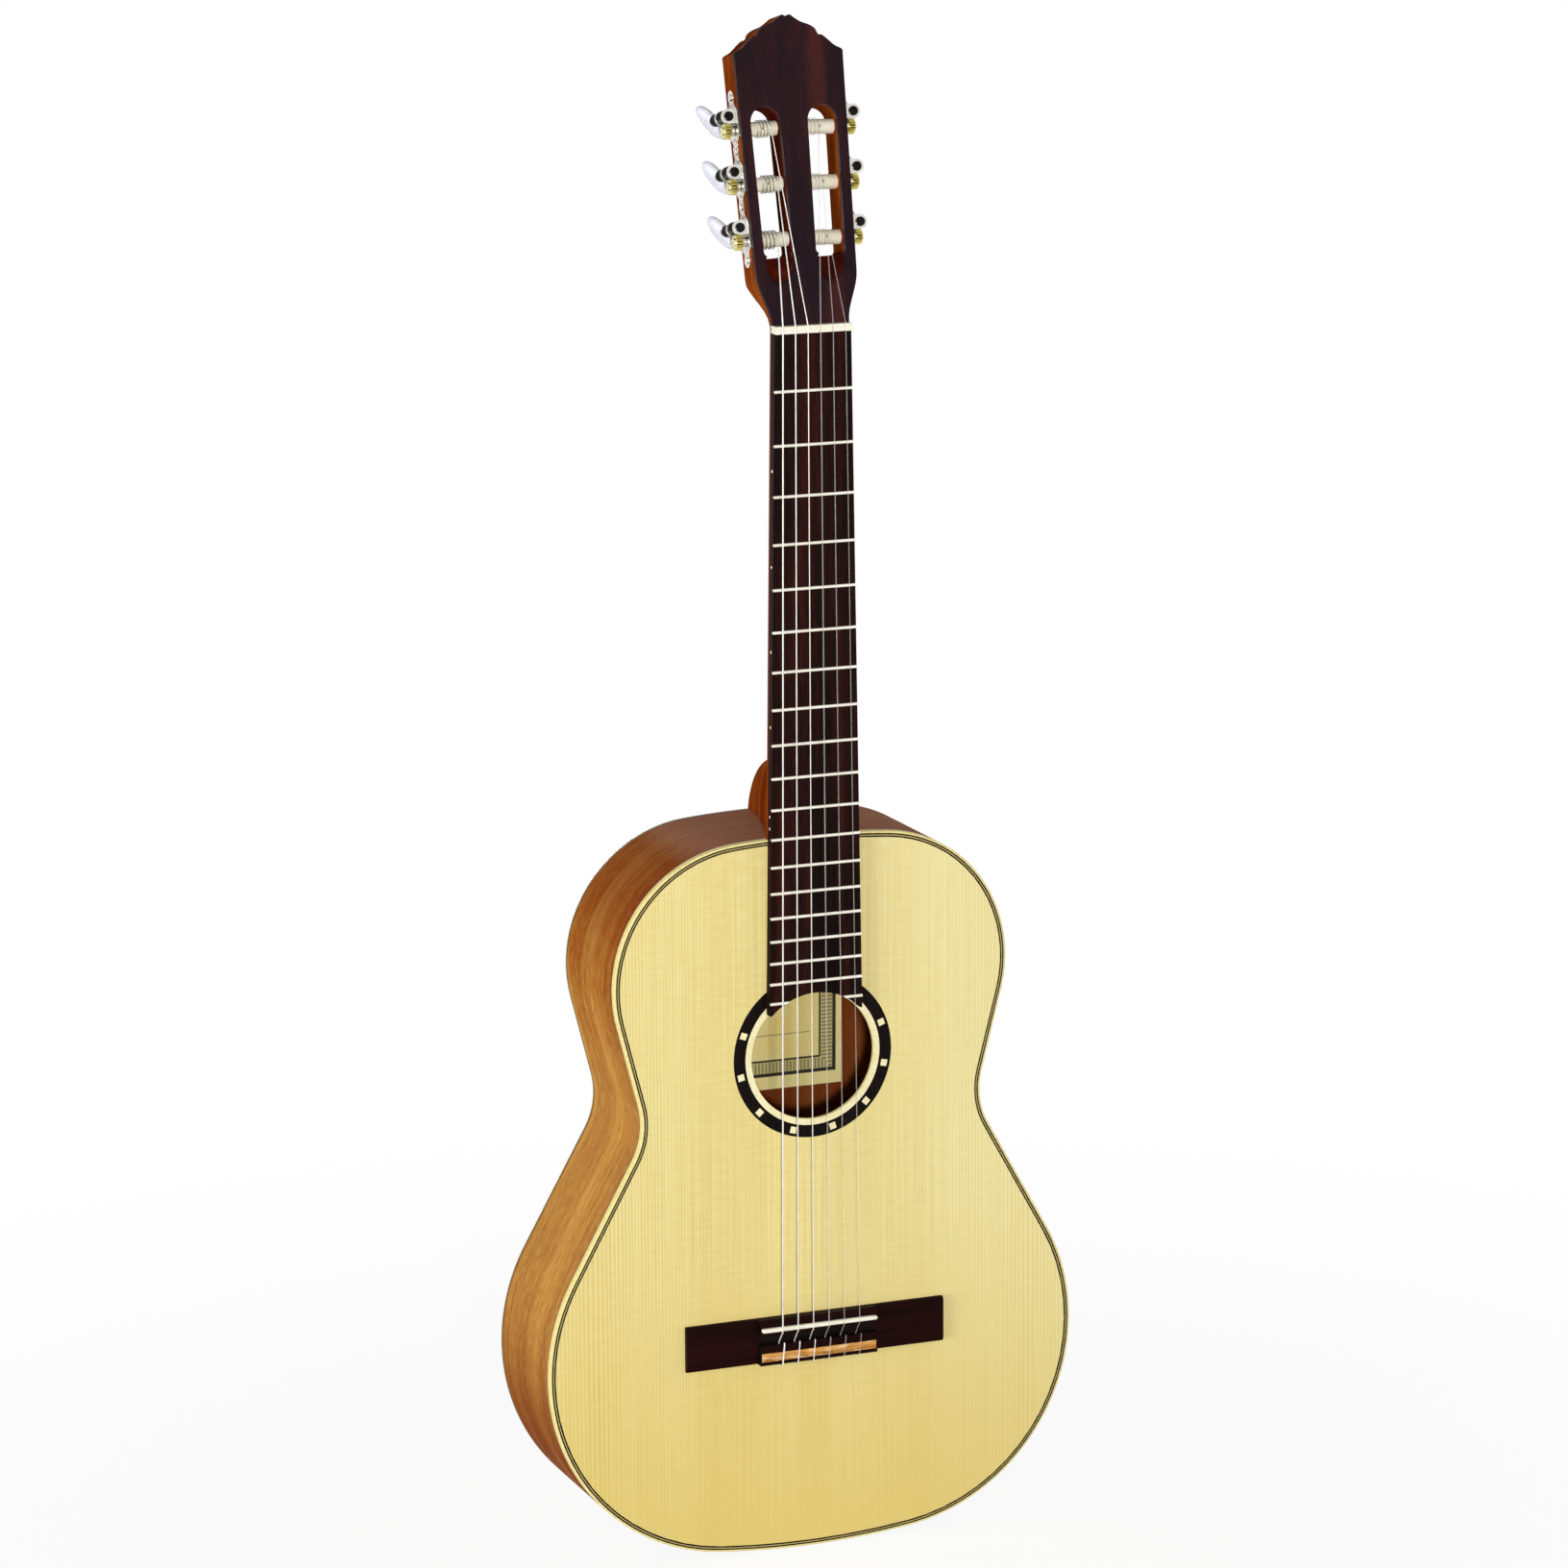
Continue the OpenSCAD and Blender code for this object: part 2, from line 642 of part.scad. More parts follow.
module rosette_inner_ring() {
    color("#e9dcae") rosette_flat(hole_r, hole_r + inner_ring_width);
}
module rosette_blocks() {
    color("#e9dcae") rosette_squares();
}
module label() {
    paper_t = 0.3;
    color("#efe6c4") intersection() {
        slab(0, far / 4) translate([-label_width / 2, hole_z - label_drop])
            square([label_width, label_height]);
        back_layer(back_t, back_t + paper_t);
    }
}

// Inside of the body
module block_space(width, length, z) {
    translate([-width / 2, 0, z]) cube([width, far / 4, length]);
}
module neck_block_space() {
    block_space(neck_block_width, far, body_z - rib_t - neck_block_length);
}
module tail_block_space() {
    block_space(tail_block_width, far, tail_z + rib_t + tail_block_length - far);
}
module linings() {
    color("#cfae74") difference() {
        union() {
            slab(top_t, top_t + lining_height) edge_ring(rib_t, rib_t + lining_width);
            intersection() {
                slab(0, far / 4) edge_ring(rib_t, rib_t + lining_width);
                back_layer(back_t, back_t + lining_height);
            }
        }
        neck_block_space();
        tail_block_space();
    }
}
module block_between() {
    difference() {
        slab(top_t, far / 4) polygon(outline(rib_t));
        back_layer(-far / 4, back_t);
    }
}
module neck_block() {
    color("#b98a52") difference() {
        intersection() {
            block_between();
            neck_block_space();
        }
        tenon(far / 8);
    }
}
module tail_block() {
    color("#b98a52") intersection() {
        block_between();
        tail_block_space();
    }
}
module fan_braces() {
    fan_top = hole_z - bar_offset - brace_width;
    fan_margin = 18;
    fan_low = tail_z + rib_t + tail_block_length + lining_width + fan_margin;
    color("#d9bd86") for (i = [0:fan_count - 1]) let (place = i - (fan_count - 1) / 2)
        translate([place * fan_step, top_t, saddle_z]) rotate([0, place * fan_angle, 0])
            translate([-brace_width / 2, 0, fan_low - saddle_z])
                cube([brace_width, fan_height, fan_top - fan_low]);
}
module harmonic_bars() {
    color("#d9bd86") for (place = [-1, 1]) intersection() {
        slab(top_t, top_t + bar_height) polygon(outline(rib_t + lining_width));
        translate([-far / 2, 0, hole_z + place * bar_offset - brace_width / 2])
            cube([far, far / 4, brace_width]);
    }
}
module back_braces() {
    brace_shares = [0.17, 0.5, 0.76];
    color("#d9bd86") for (share = brace_shares) intersection() {
        inside_back(back_t, back_t + bar_height, rib_t + lining_width);
        translate([-far / 2, 0, body_z - share * body_length - brace_width / 2])
            cube([far, far / 4, brace_width]);
    }
}

// Neck, head and fretboard
module neck_shaft() {
    loft(concat(
        [for (s = [join + heel_root, join / 2])
            shaft_ring(nut_z - s, 0, board_half(s), shaft_depth(s), shaft_power)],
        [for (i = [0:tilt_steps])
            let (t = i / tilt_steps, s = tilt_length * (1 - t) - nut_length * t)
            shaft_ring(nut_z - s, head_tilt * t, board_half(max(s, 0)), shaft_depth(s), shaft_power)]
    ));
}
module heel() {
    loft([for (i = [0:heel_rings]) let (y = heel_start + (heel_tip - heel_start) * i / heel_rings)
        [for (p = rounded_half(heel_half(y), heel_length(y) + heel_root, heel_power))
            [-p[0], y, body_z - heel_root + p[1]]]]);
}
// Tenon from inside the heel into the neck block; the reach says how far it runs into the heel
module tenon(reach) {
    translate([-tenon_width / 2, tenon_front, body_z - rib_t - tenon_length])
        cube([tenon_width, tenon_depth, rib_t + tenon_length + reach]);
}
module neck() {
    heel_bite = 6;
    color("#b06a33") union() {
        difference() {
            union() {
                neck_shaft();
                heel();
            }
            slab(-1, far / 4) polygon(outline(0));
        }
        tenon(heel_bite);
    }
}
module head_slot() {
    half = slot_width / 2;
    ramp_inset = 0.6;
    ramp_r = half - ramp_inset;
    ramp_run = slot_low - ramp_low;
    depth = head_t + headplate_t;
    ramp_tilt = atan(ramp_run / depth);
    ramp_share = 0.95;
    middle = -cheek_t - half;
    slab(-headplate_t - 1, head_t + 1) hull() {
        translate([middle, slot_top - half]) circle(half);
        for (side = [-1, 1]) translate([middle + side * (half - slot_corner), slot_low + slot_corner])
            circle(slot_corner);
    }
    translate([middle, -headplate_t, ramp_low + ramp_r / cos(ramp_tilt)]) rotate([-90 + ramp_tilt, 0, 0])
        translate([0, 0, -depth / 2]) cylinder(r = ramp_r, h = depth / 2 + ramp_share * depth);
}
// Round back of the neck, growing out of the head until all of the head lies inside it
module head_envelope() {
    loft(concat(
        [for (i = [0:round_steps])
            let (t = i / round_steps, e = ease(t), rise = round_length * t)
            envelope_ring(rise, flare_half(rise) + round_gap + round_growth * e,
                shaft_depth(-nut_length) + (head_t + round_growth - shaft_depth(-nut_length)) * e,
                shaft_power + (head_power - shaft_power) * e)],
        [envelope_ring(head_length + round_growth, head_top_width / 2 + 2 * round_growth,
            head_t + 2 * round_growth, head_power)]
    ));
}
module head() {
    color("#b06a33") on_head() difference() {
        intersection() {
            slab(0, head_t) polygon(head_outline(0));
            head_envelope();
        }
        for (side = [-1, 1]) side_frame(side) {
            head_slot();
            for (k = [1:PER_SIDE])
                out_cylinder(roller_r + running_gap, seat_end - end_gap, cheek_t, roller_rise(k));
            for (rise = screw_rises) out_cylinder(screw_d / 2, -screw_length - end_gap, 1, rise);
        }
    }
}
module headplate() {
    below = 2;
    color("#2a1512") on_head() difference() {
        slab(-headplate_t, 0) polygon(head_outline(-below));
        for (side = [-1, 1]) side_frame(side) head_slot();
        rotate([head_tilt, 0, 0]) translate([-nut_width, -nut_width, -nut_width])
            cube([2 * nut_width, 2 * nut_width, nut_width]);
    }
}
module fretboard() {
    end_half = board_half(board_end);
    color("#2a1613") difference() {
        slab(-fretboard_t, 0) polygon([
            [nut_width / 2, nut_z], [end_half, nut_z - board_end],
            [-end_half, nut_z - board_end], [-nut_width / 2, nut_z]
        ]);
        sound_hole(board_clear);
        for (n = [1:FRETS]) translate([-join_width, -fretboard_t - 1, nut_z - fret_drop(n) - tang_width / 2])
            cube([2 * join_width, tang_depth + 1, tang_width]);
    }
}
module fret_section() {
    crown_r = (fret_width * fret_width / 4 + fret_crown * fret_crown) / (2 * fret_crown);
    sunk = 0.2;
    intersection() {
        translate([crown_r - fret_crown, 0]) circle(crown_r, $fn = 32);
        translate([-fret_crown - 1, -fret_width]) square([fret_crown + 1, 2 * fret_width]);
    }
    translate([-sunk, -tang_width / 2]) square([tang_depth + sunk, tang_width]);
}
module frets() {
    color("#cbbf9c") difference() {
        for (n = [1:FRETS]) translate([0, -fretboard_t, nut_z - fret_drop(n)])
            along_x(2 * board_half(fret_drop(n))) fret_section();
        sound_hole(board_clear);
    }
}
module nut() {
    color("#efe8cf") difference() {
        translate([-nut_width / 2, string_y_nut, nut_z]) cube([nut_width, -string_y_nut, nut_length]);
        for (k = [1:STRINGS]) let (d = string_d[k - 1])
            translate([nut_x(k) - d / 2 - string_gap, string_y_nut - 1, nut_z - 1])
                cube([d + 2 * string_gap, 1 + d / 2 + string_gap, nut_length + 2]);
    }
}

// Bridge
module bridge() {
    color("#2a1512") difference() {
        union() {
            along_x(bridge_span) polygon([
                [0, bridge_top],
                [-wing_height + edge_round / 2, bridge_top],
                [-wing_height, bridge_top - edge_round],
                [-wing_height, bridge_low + edge_round],
                [-wing_height + edge_round / 2, bridge_low],
                [0, bridge_low]
            ]);
            along_x(bridge_block) polygon([
                [0, bridge_top],
                [-block_height + edge_round, bridge_top],
                [-block_height, bridge_top - edge_round],
                [-block_height, saddle_ledge],
                [-channel_rise, saddle_ledge],
                [-channel_rise, tie_front],
                [-block_height, tie_front],
                [-block_height, bridge_low],
                [0, bridge_low]
            ]);
        }
        translate([-saddle_length / 2, -block_height - 1, saddle_z - saddle_width / 2])
            cube([saddle_length, saddle_seat + 1, saddle_width]);
        translate([-inlay_length / 2, -block_height - 1, inlay_low])
            cube([inlay_length, inlay_t + 1, inlay_width]);
        for (k = [1:STRINGS]) translate([saddle_x(k), -tie_hole_rise, bridge_low - 1])
            cylinder(r = string_d[k - 1] / 2 + 1.4 * string_gap, h = tie_width + 2, $fn = 24);
    }
}
module saddle() {
    crown_r = saddle_width / 2;
    color("#efe8cf") along_x(saddle_length) {
        translate([-saddle_top + crown_r, saddle_z]) circle(crown_r, $fn = 32);
        translate([-saddle_top + crown_r, saddle_z - crown_r])
            square([saddle_rise + saddle_seat - crown_r, saddle_width]);
    }
}
module tie_block_inlay() {
    color("#c58a4a") translate([-inlay_length / 2, -block_height, inlay_low])
        cube([inlay_length, inlay_t, inlay_width]);
}

// Tuners
// Half width of a tuner plate: a lobe at each worm, a slim stem between them and a round eye at each end
stem_half = 3.4;
lobe_flat = 8;
lobe_fade = 5;
eye_r = 4.6;
plate_step = 1.5;
function lobe_half(from_middle) =
    let (t = max(0, min(1, (abs(from_middle) - lobe_flat) / lobe_fade)))
    plate_width / 2 + (stem_half - plate_width / 2) * ease(t);
function eye_half(from_middle) = sqrt(max(0, eye_r * eye_r - from_middle * from_middle));
function plate_half(a) = max(concat(
    [for (k = [1:PER_SIDE]) lobe_half(a - roller_rise(k) - worm_rise / 2)],
    [for (eye = [plate_low, plate_high]) eye_half(a - eye)]
));
module plate_outline() {
    steps = ceil((plate_high - plate_low + 2 * eye_r) / plate_step);
    rises = [for (i = [0:steps]) plate_low - eye_r + (plate_high - plate_low + 2 * eye_r) * i / steps];
    middle = [for (a = rises) if (a > plate_low && a < plate_high) a];
    polygon(concat(
        [for (a = middle) [a, plate_half(a)]],
        [for (a = backwards(middle)) [a, -plate_half(a)]]
    ));
    for (eye = [plate_low, plate_high]) translate([eye, 0]) circle(eye_r, $fn = 32);
}
module worm_lug(rise, front) {
    difference() {
        union() {
            translate([plate_t / 2, front, rise - lug_r]) cube([gear_offset - plate_t / 2, lug_t, 2 * lug_r]);
            worm_cylinder(lug_r, front, front + lug_t, rise);
        }
        translate([-far / 2, front - 1, rise - 2 * lug_r])
            cube([far / 2 + plate_t / 2, lug_t + 2, 4 * lug_r]);
    }
}
module tuner_plate(side) {
    color("#c9c6bd") on_side(side) difference() {
        union() {
            translate([0, roller_depth, 0]) rotate([0, -90, 0]) mirror([0, 0, 1]) linear_extrude(plate_t)
                plate_outline();
            for (k = [1:PER_SIDE]) for (front = [front_lug, back_lug])
                worm_lug(roller_rise(k) + worm_rise, front);
        }
        for (k = [1:PER_SIDE]) {
            out_cylinder(core_d / 2 + running_gap, -1, plate_t + 1, roller_rise(k));
            worm_cylinder(shaft_d / 2 + running_gap, -2 * lug_span, 3 * lug_span, roller_rise(k) + worm_rise);
        }
        for (rise = screw_rises) out_cylinder(screw_d / 2, -1, plate_t + 1, rise);
    }
}
module plate_screws() {
    color("#d8d5cc") for (side = [-1, 1]) on_side(side) for (rise = screw_rises) {
        out_cylinder(screw_d / 2, -screw_length, plate_t + screw_head_t / 2, rise);
        difference() {
            out_cylinder(screw_head_d / 2, plate_t, plate_t + screw_head_t, rise);
            translate([plate_t + screw_head_t / 2, roller_depth - screw_head_d, rise - drive_width / 2])
                cube([screw_head_t, 2 * screw_head_d, drive_width]);
        }
    }
}
module roller(k) {
    rise = roller_rise(k);
    string_hole_d = 2;
    color("#efe6cc") on_side(side_of(k)) difference() {
        union() {
            out_cylinder(roller_r, seat_end, -end_gap, rise);
            out_cylinder(core_d / 2, -end_gap - 1, gear_outer, rise);
        }
        translate([-cheek_t - slot_width / 2, roller_depth - roller_d, rise]) rotate([-90, 0, 0])
            cylinder(d = string_hole_d, h = 2 * roller_d, $fn = 24);
        out_cylinder(gear_screw_d / 2 + running_gap, gear_inner, gear_outer + 1, rise);
    }
}
// Gear outline with a tooth standing towards the worm
function gear_points() =
    let (root = gear_r - dedendum, tip = gear_r + addendum)
    let (root_half = (tooth_t / 2 + dedendum * flank) / root)
    let (tip_half = (tooth_t / 2 - addendum * flank) / tip)
    let (tooth = [[root, -root_half], [tip, -tip_half], [tip, tip_half], [root, root_half]])
    [for (i = [0:gear_teeth - 1]) for (e = tooth)
        let (t = 360 * i / gear_teeth + e[1] * 180 / PI) e[0] * [cos(t), sin(t)]];
module gear(k) {
    rise = roller_rise(k);
    hub_r = core_d / 2 + 1.2;
    gear_screw_end = gear_outer + gear_screw_head_t;
    drive_floor = gear_outer + gear_screw_head_t / 2;
    color("#c8a548") on_side(side_of(k)) {
        difference() {
            union() {
                translate([gear_inner, roller_depth, rise]) rotate([0, -90, 0]) mirror([0, 0, 1])
                    linear_extrude(gear_face) polygon(gear_points());
                out_cylinder(hub_r, plate_t + end_gap, gear_inner + 1, rise);
            }
            out_cylinder(core_d / 2 + running_gap, 0, gear_outer + 1, rise);
        }
        difference() {
            union() {
                out_cylinder(gear_screw_head_d / 2, gear_outer, gear_screw_end, rise);
                out_cylinder(gear_screw_d / 2, gear_inner + end_gap, drive_floor, rise);
            }
            translate([drive_floor, roller_depth - gear_screw_head_d, rise - drive_width / 2])
                cube([gear_screw_head_t, 2 * gear_screw_head_d, drive_width]);
        }
    }
}
// Single-start thread; at the side towards the gear it leaves room for the gear's tooth
function thread_ring(turn) =
    let (root = worm_r - dedendum - root_gap, tip = worm_r + addendum)
    let (root_half = tooth_t / 2 + (dedendum + root_gap) * flank, tip_half = tooth_t / 2 - addendum * flank)
    let (t = 360 * turn, axial = (turn + 0.5) * worm_pitch)
    [for (e = [[root, root_half], [tip, tip_half], [tip, -tip_half], [root, -root_half]])
        [e[0] * sin(t), axial + e[1], -e[0] * cos(t)]];
module worm_thread() {
    steps = round(worm_turns * thread_steps);
    loft([for (i = [0:steps]) thread_ring(-worm_turns / 2 - 0.5 + worm_turns * i / steps)]);
}
module worm(k) {
    rise = roller_rise(k) + worm_rise;
    stub = 0.9;
    color("#241f1d") on_side(side_of(k)) union() {
        translate([gear_offset, roller_depth, rise]) worm_thread();
        worm_cylinder(shaft_d / 2, front_lug - stub, button_start - ferrule_length / 2, rise);
    }
}
// Rounded oval button with its ferrule on the worm shaft
button_rings = 8;
button_sides = 16;
button_power = 0.8;
button_bite = 0.5;
last_ring = 88;
function button_ring(i) =
    let (t = last_ring * (2 * i / button_rings - 1), f = pow(cos(t), button_power))
    [for (j = [0:button_sides - 1]) let (a = 360 * j / button_sides)
        [f * button_length / 2 * cos(a), button_width / 2 * sin(t), f * button_t / 2 * sin(a)]];
module button(k) {
    rise = roller_rise(k) + worm_rise;
    ferrule_start = button_start - ferrule_length;
    middle = button_start - button_bite + button_width / 2;
    color("#e8e6df") on_side(side_of(k)) difference() {
        union() {
            worm_cylinder(ferrule_r, ferrule_start, button_start + 2, rise);
            translate([gear_offset, middle, rise]) rotate([0, -button_turn, 0])
                loft([for (i = [0:button_rings]) button_ring(i)]);
        }
        worm_cylinder(shaft_d / 2, ferrule_start - 1, ferrule_start + ferrule_length / 2, rise);
    }
}

// Strings
module string(k) {
    path = string_path(k);
    d = string_d[k - 1];
    echo(str("string_", k, " least gap to itself in mm"), least_gap(path, d));
    color(k <= PER_SIDE ? "#d9d2bd" : "#b9b4a6")
        loft([for (i = [0:len(path) - 1]) tube_ring(path, i, d / 2)]);
}

soundboard();
back();
rib(-1);  // rib_bass
rib(1);  // rib_treble
binding_front();
purfling_front();
binding_back();
rosette_ring();
rosette_inner_ring();
rosette_blocks();
label();
neck();
head();
headplate();
fretboard();
frets();
nut();
bridge();
saddle();
tie_block_inlay();
linings();
neck_block();
tail_block();
fan_braces();
harmonic_bars();
back_braces();
tuner_plate(-1);  // tuner_plate_bass
tuner_plate(1);  // tuner_plate_treble
plate_screws();
for (k = [1:STRINGS]) {
    roller(k);
    gear(k);
    worm(k);
    button(k);
    string(k);
}
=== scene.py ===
# Classical guitar with a slotted head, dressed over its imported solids.
# Sizes are in millimetres and become metres where a mesh is placed.
import json
import math

import bpy
from mathutils import Matrix, Vector

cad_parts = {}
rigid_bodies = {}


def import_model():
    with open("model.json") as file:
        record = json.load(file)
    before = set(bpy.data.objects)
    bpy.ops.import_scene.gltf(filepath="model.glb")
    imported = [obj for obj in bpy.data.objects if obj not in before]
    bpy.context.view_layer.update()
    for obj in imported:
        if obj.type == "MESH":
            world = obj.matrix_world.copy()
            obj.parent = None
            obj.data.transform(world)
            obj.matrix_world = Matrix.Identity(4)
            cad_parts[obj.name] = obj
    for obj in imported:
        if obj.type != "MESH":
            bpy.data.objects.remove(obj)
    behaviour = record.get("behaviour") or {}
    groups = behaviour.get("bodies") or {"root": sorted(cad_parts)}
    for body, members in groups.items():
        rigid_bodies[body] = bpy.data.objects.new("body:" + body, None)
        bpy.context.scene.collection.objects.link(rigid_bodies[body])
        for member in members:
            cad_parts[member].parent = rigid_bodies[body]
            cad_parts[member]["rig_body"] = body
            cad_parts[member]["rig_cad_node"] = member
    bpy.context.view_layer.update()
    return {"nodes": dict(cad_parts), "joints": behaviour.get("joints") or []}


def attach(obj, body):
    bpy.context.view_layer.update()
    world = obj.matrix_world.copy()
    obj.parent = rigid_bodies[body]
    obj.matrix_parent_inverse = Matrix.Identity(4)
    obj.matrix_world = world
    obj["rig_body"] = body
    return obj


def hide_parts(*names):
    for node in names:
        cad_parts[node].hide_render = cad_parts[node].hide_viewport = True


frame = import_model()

MM = 0.001
nodes = frame["nodes"]

# Heights along the guitar, from the line where a hanger holds it
NUT_TOP = -15.0
NUT_Z = -20.0
BODY_Z = -345.0
HOLE_Z = -491.2
SADDLE_Z = -670.5
TAIL_Z = -825.0

# Lengths from the nut: to the body, and to the saddle
JOIN = 325.0
SCALE = 650.0


# Finishes

class Wire:
    """A socket of a finish: sums on it add Math nodes, and any other node comes from make."""

    def __init__(self, tree, socket=None):
        self.tree = tree
        self.socket = socket

    def make(self, kind, settings=None, values=None, out=0):
        made = self.tree.nodes.new("ShaderNode" + kind)
        for key, value in (settings or {}).items():
            if key == "stops":
                ramp = made.color_ramp
                ramp.elements.remove(ramp.elements[1])
                ramp.elements[0].position = value[0][0]
                ramp.elements[0].color = value[0][1]
                for place, colour in value[1:]:
                    ramp.elements.new(place).color = colour
            else:
                setattr(made, key, value)
        for key, value in (values or {}).items():
            if isinstance(value, Wire):
                self.tree.links.new(value.socket, made.inputs[key])
            else:
                made.inputs[key].default_value = value
        return Wire(self.tree, made.outputs[out])

    def sum(self, operation, *values):
        return self.make("Math", {"operation": operation}, dict(enumerate(values)))

    def __add__(self, other):
        return self.sum("ADD", self, other)

    def __sub__(self, other):
        return self.sum("SUBTRACT", self, other)

    def __rsub__(self, other):
        return self.sum("SUBTRACT", other, self)

    def __mul__(self, other):
        return self.sum("MULTIPLY", self, other)

    def __truediv__(self, other):
        return self.sum("DIVIDE", self, other)

    def __abs__(self):
        return self.sum("ABSOLUTE", self)

    __radd__ = __add__
    __rmul__ = __mul__

    def above(self, edge, soft=0.0):
        """1 where the value is over edge, 0 under it, with a ramp of width soft between."""
        if not soft:
            return self.sum("GREATER_THAN", self, edge)
        settings = {"interpolation_type": "SMOOTHSTEP"}
        return self.make("MapRange", settings, {0: self, 1: edge - soft / 2, 2: edge + soft / 2})

    def ramp(self, *stops):
        return self.make("ValToRGB", {"stops": stops}, {0: self})

    def blend(self, other, share):
        return self.make("Mix", {"data_type": "RGBA"}, {0: share, 6: self, 7: other}, 2)

    def axis(self, letter):
        return self.make("SeparateXYZ", None, {0: self}, letter)

    def streaks(self, scale, detail=2.0, rough=0.5):
        """Noise on this vector, stretched by a scale for each axis, in waves for each metre."""
        stretched = self.make("Mapping", None, {"Vector": self, "Scale": scale})
        values = {"Vector": stretched, "Scale": 1.0, "Detail": detail, "Roughness": rough}
        return self.make("TexNoise", None, values)


def tone(code):
    """A written colour as linear red, green, blue and alpha."""
    parts = [int(code[i:i + 2], 16) / 255 for i in (0, 2, 4)]
    return tuple(p / 12.92 if p <= 0.04045 else ((p + 0.055) / 1.055) ** 2.4 for p in parts) + (1.0,)


def new_finish(name, **constants):
    finish = bpy.data.materials.new(name)
    finish.use_nodes = True
    shader = finish.node_tree.nodes["Principled BSDF"]
    for key, value in constants.items():
        shader.inputs[key.replace("_", " ")].default_value = value
    return finish, Wire(finish.node_tree)


def feed(finish, **wires):
    shader = finish.node_tree.nodes["Principled BSDF"]
    for key, wire in wires.items():
        finish.node_tree.links.new(wire.socket, shader.inputs[key.replace("_", " ")])


def raise_relief(finish, height, strength, depth):
    values = {"Strength": strength, "Distance": depth, "Height": height}
    feed(finish, Normal=height.make("Bump", None, values, "Normal"))


def object_spot(start):
    return start.make("TexCoord", out="Object")


def spruce_finish():
    """Fine straight year lines, mirrored about the middle seam, under amber varnish, with painted shade
    darker towards the tail and painted light paler on the treble side.
    """
    finish, start = new_finish("spruce_varnish", Specular_IOR_Level=0.3, Coat_Weight=0.08,
                               Coat_Roughness=0.25)
    spot = object_spot(start)
    mirrored = spot.make("VectorMath", {"operation": "ABSOLUTE"}, {0: spot}, "Vector")
    out = mirrored.axis("X")
    wide = out.above(0.09, 0.14)
    sway = mirrored.streaks((24.0, 20.0, 0.9), 2.0)
    tight, lines = 0.12, 100
    spread = 1 + out / tight
    count = spread.sum("LOGARITHM", spread, math.e) * lines + sway * 3
    year = 0.5 + 0.5 * count.sum("SINE", count * (2 * math.pi))
    fine = mirrored.streaks((1500.0, 200.0, 6.0), 2.0, 0.6)
    broad = mirrored.streaks((18.0, 20.0, 1.0), 2.0)
    silk = mirrored.streaks((70.0, 40.0, 420.0), 2.0)
    patch = spot.streaks((4.0, 4.0, 3.0), 2.0)
    line = (year - 0.5) * (0.05 + wide * 0.11)
    shade = line + fine * 0.4 + broad * 0.22 + silk * 0.14 + 0.12
    colour = shade.ramp((0.37, tone("d8c070")), (0.46, tone("e4d084")),
                        (0.54, tone("ebdc98")), (0.66, tone("f0e6aa")))
    # Painted shade: a darker, more saturated amber towards the tail, mixed with random amber patches of
    # the varnish
    low = (0 - spot.axis("Z")).above(0.72, 0.34)
    amber_and_painted_shade = (patch.above(0.52, 0.3) * 0.16) + low * 0.75
    # Painted light: a paler tone towards the treble side (positive x)
    colour = colour.blend(tone("f6eeb6"), spot.axis("X").above(0.06, 0.3) * 0.4)
    feed(finish, Base_Color=colour.blend(tone("dec162"), amber_and_painted_shade))
    feed(finish, Roughness=0.36 + fine * 0.14)
    raise_relief(finish, year * 0.4 + fine * 0.6, strength=0.05, depth=0.0002)
    return finish


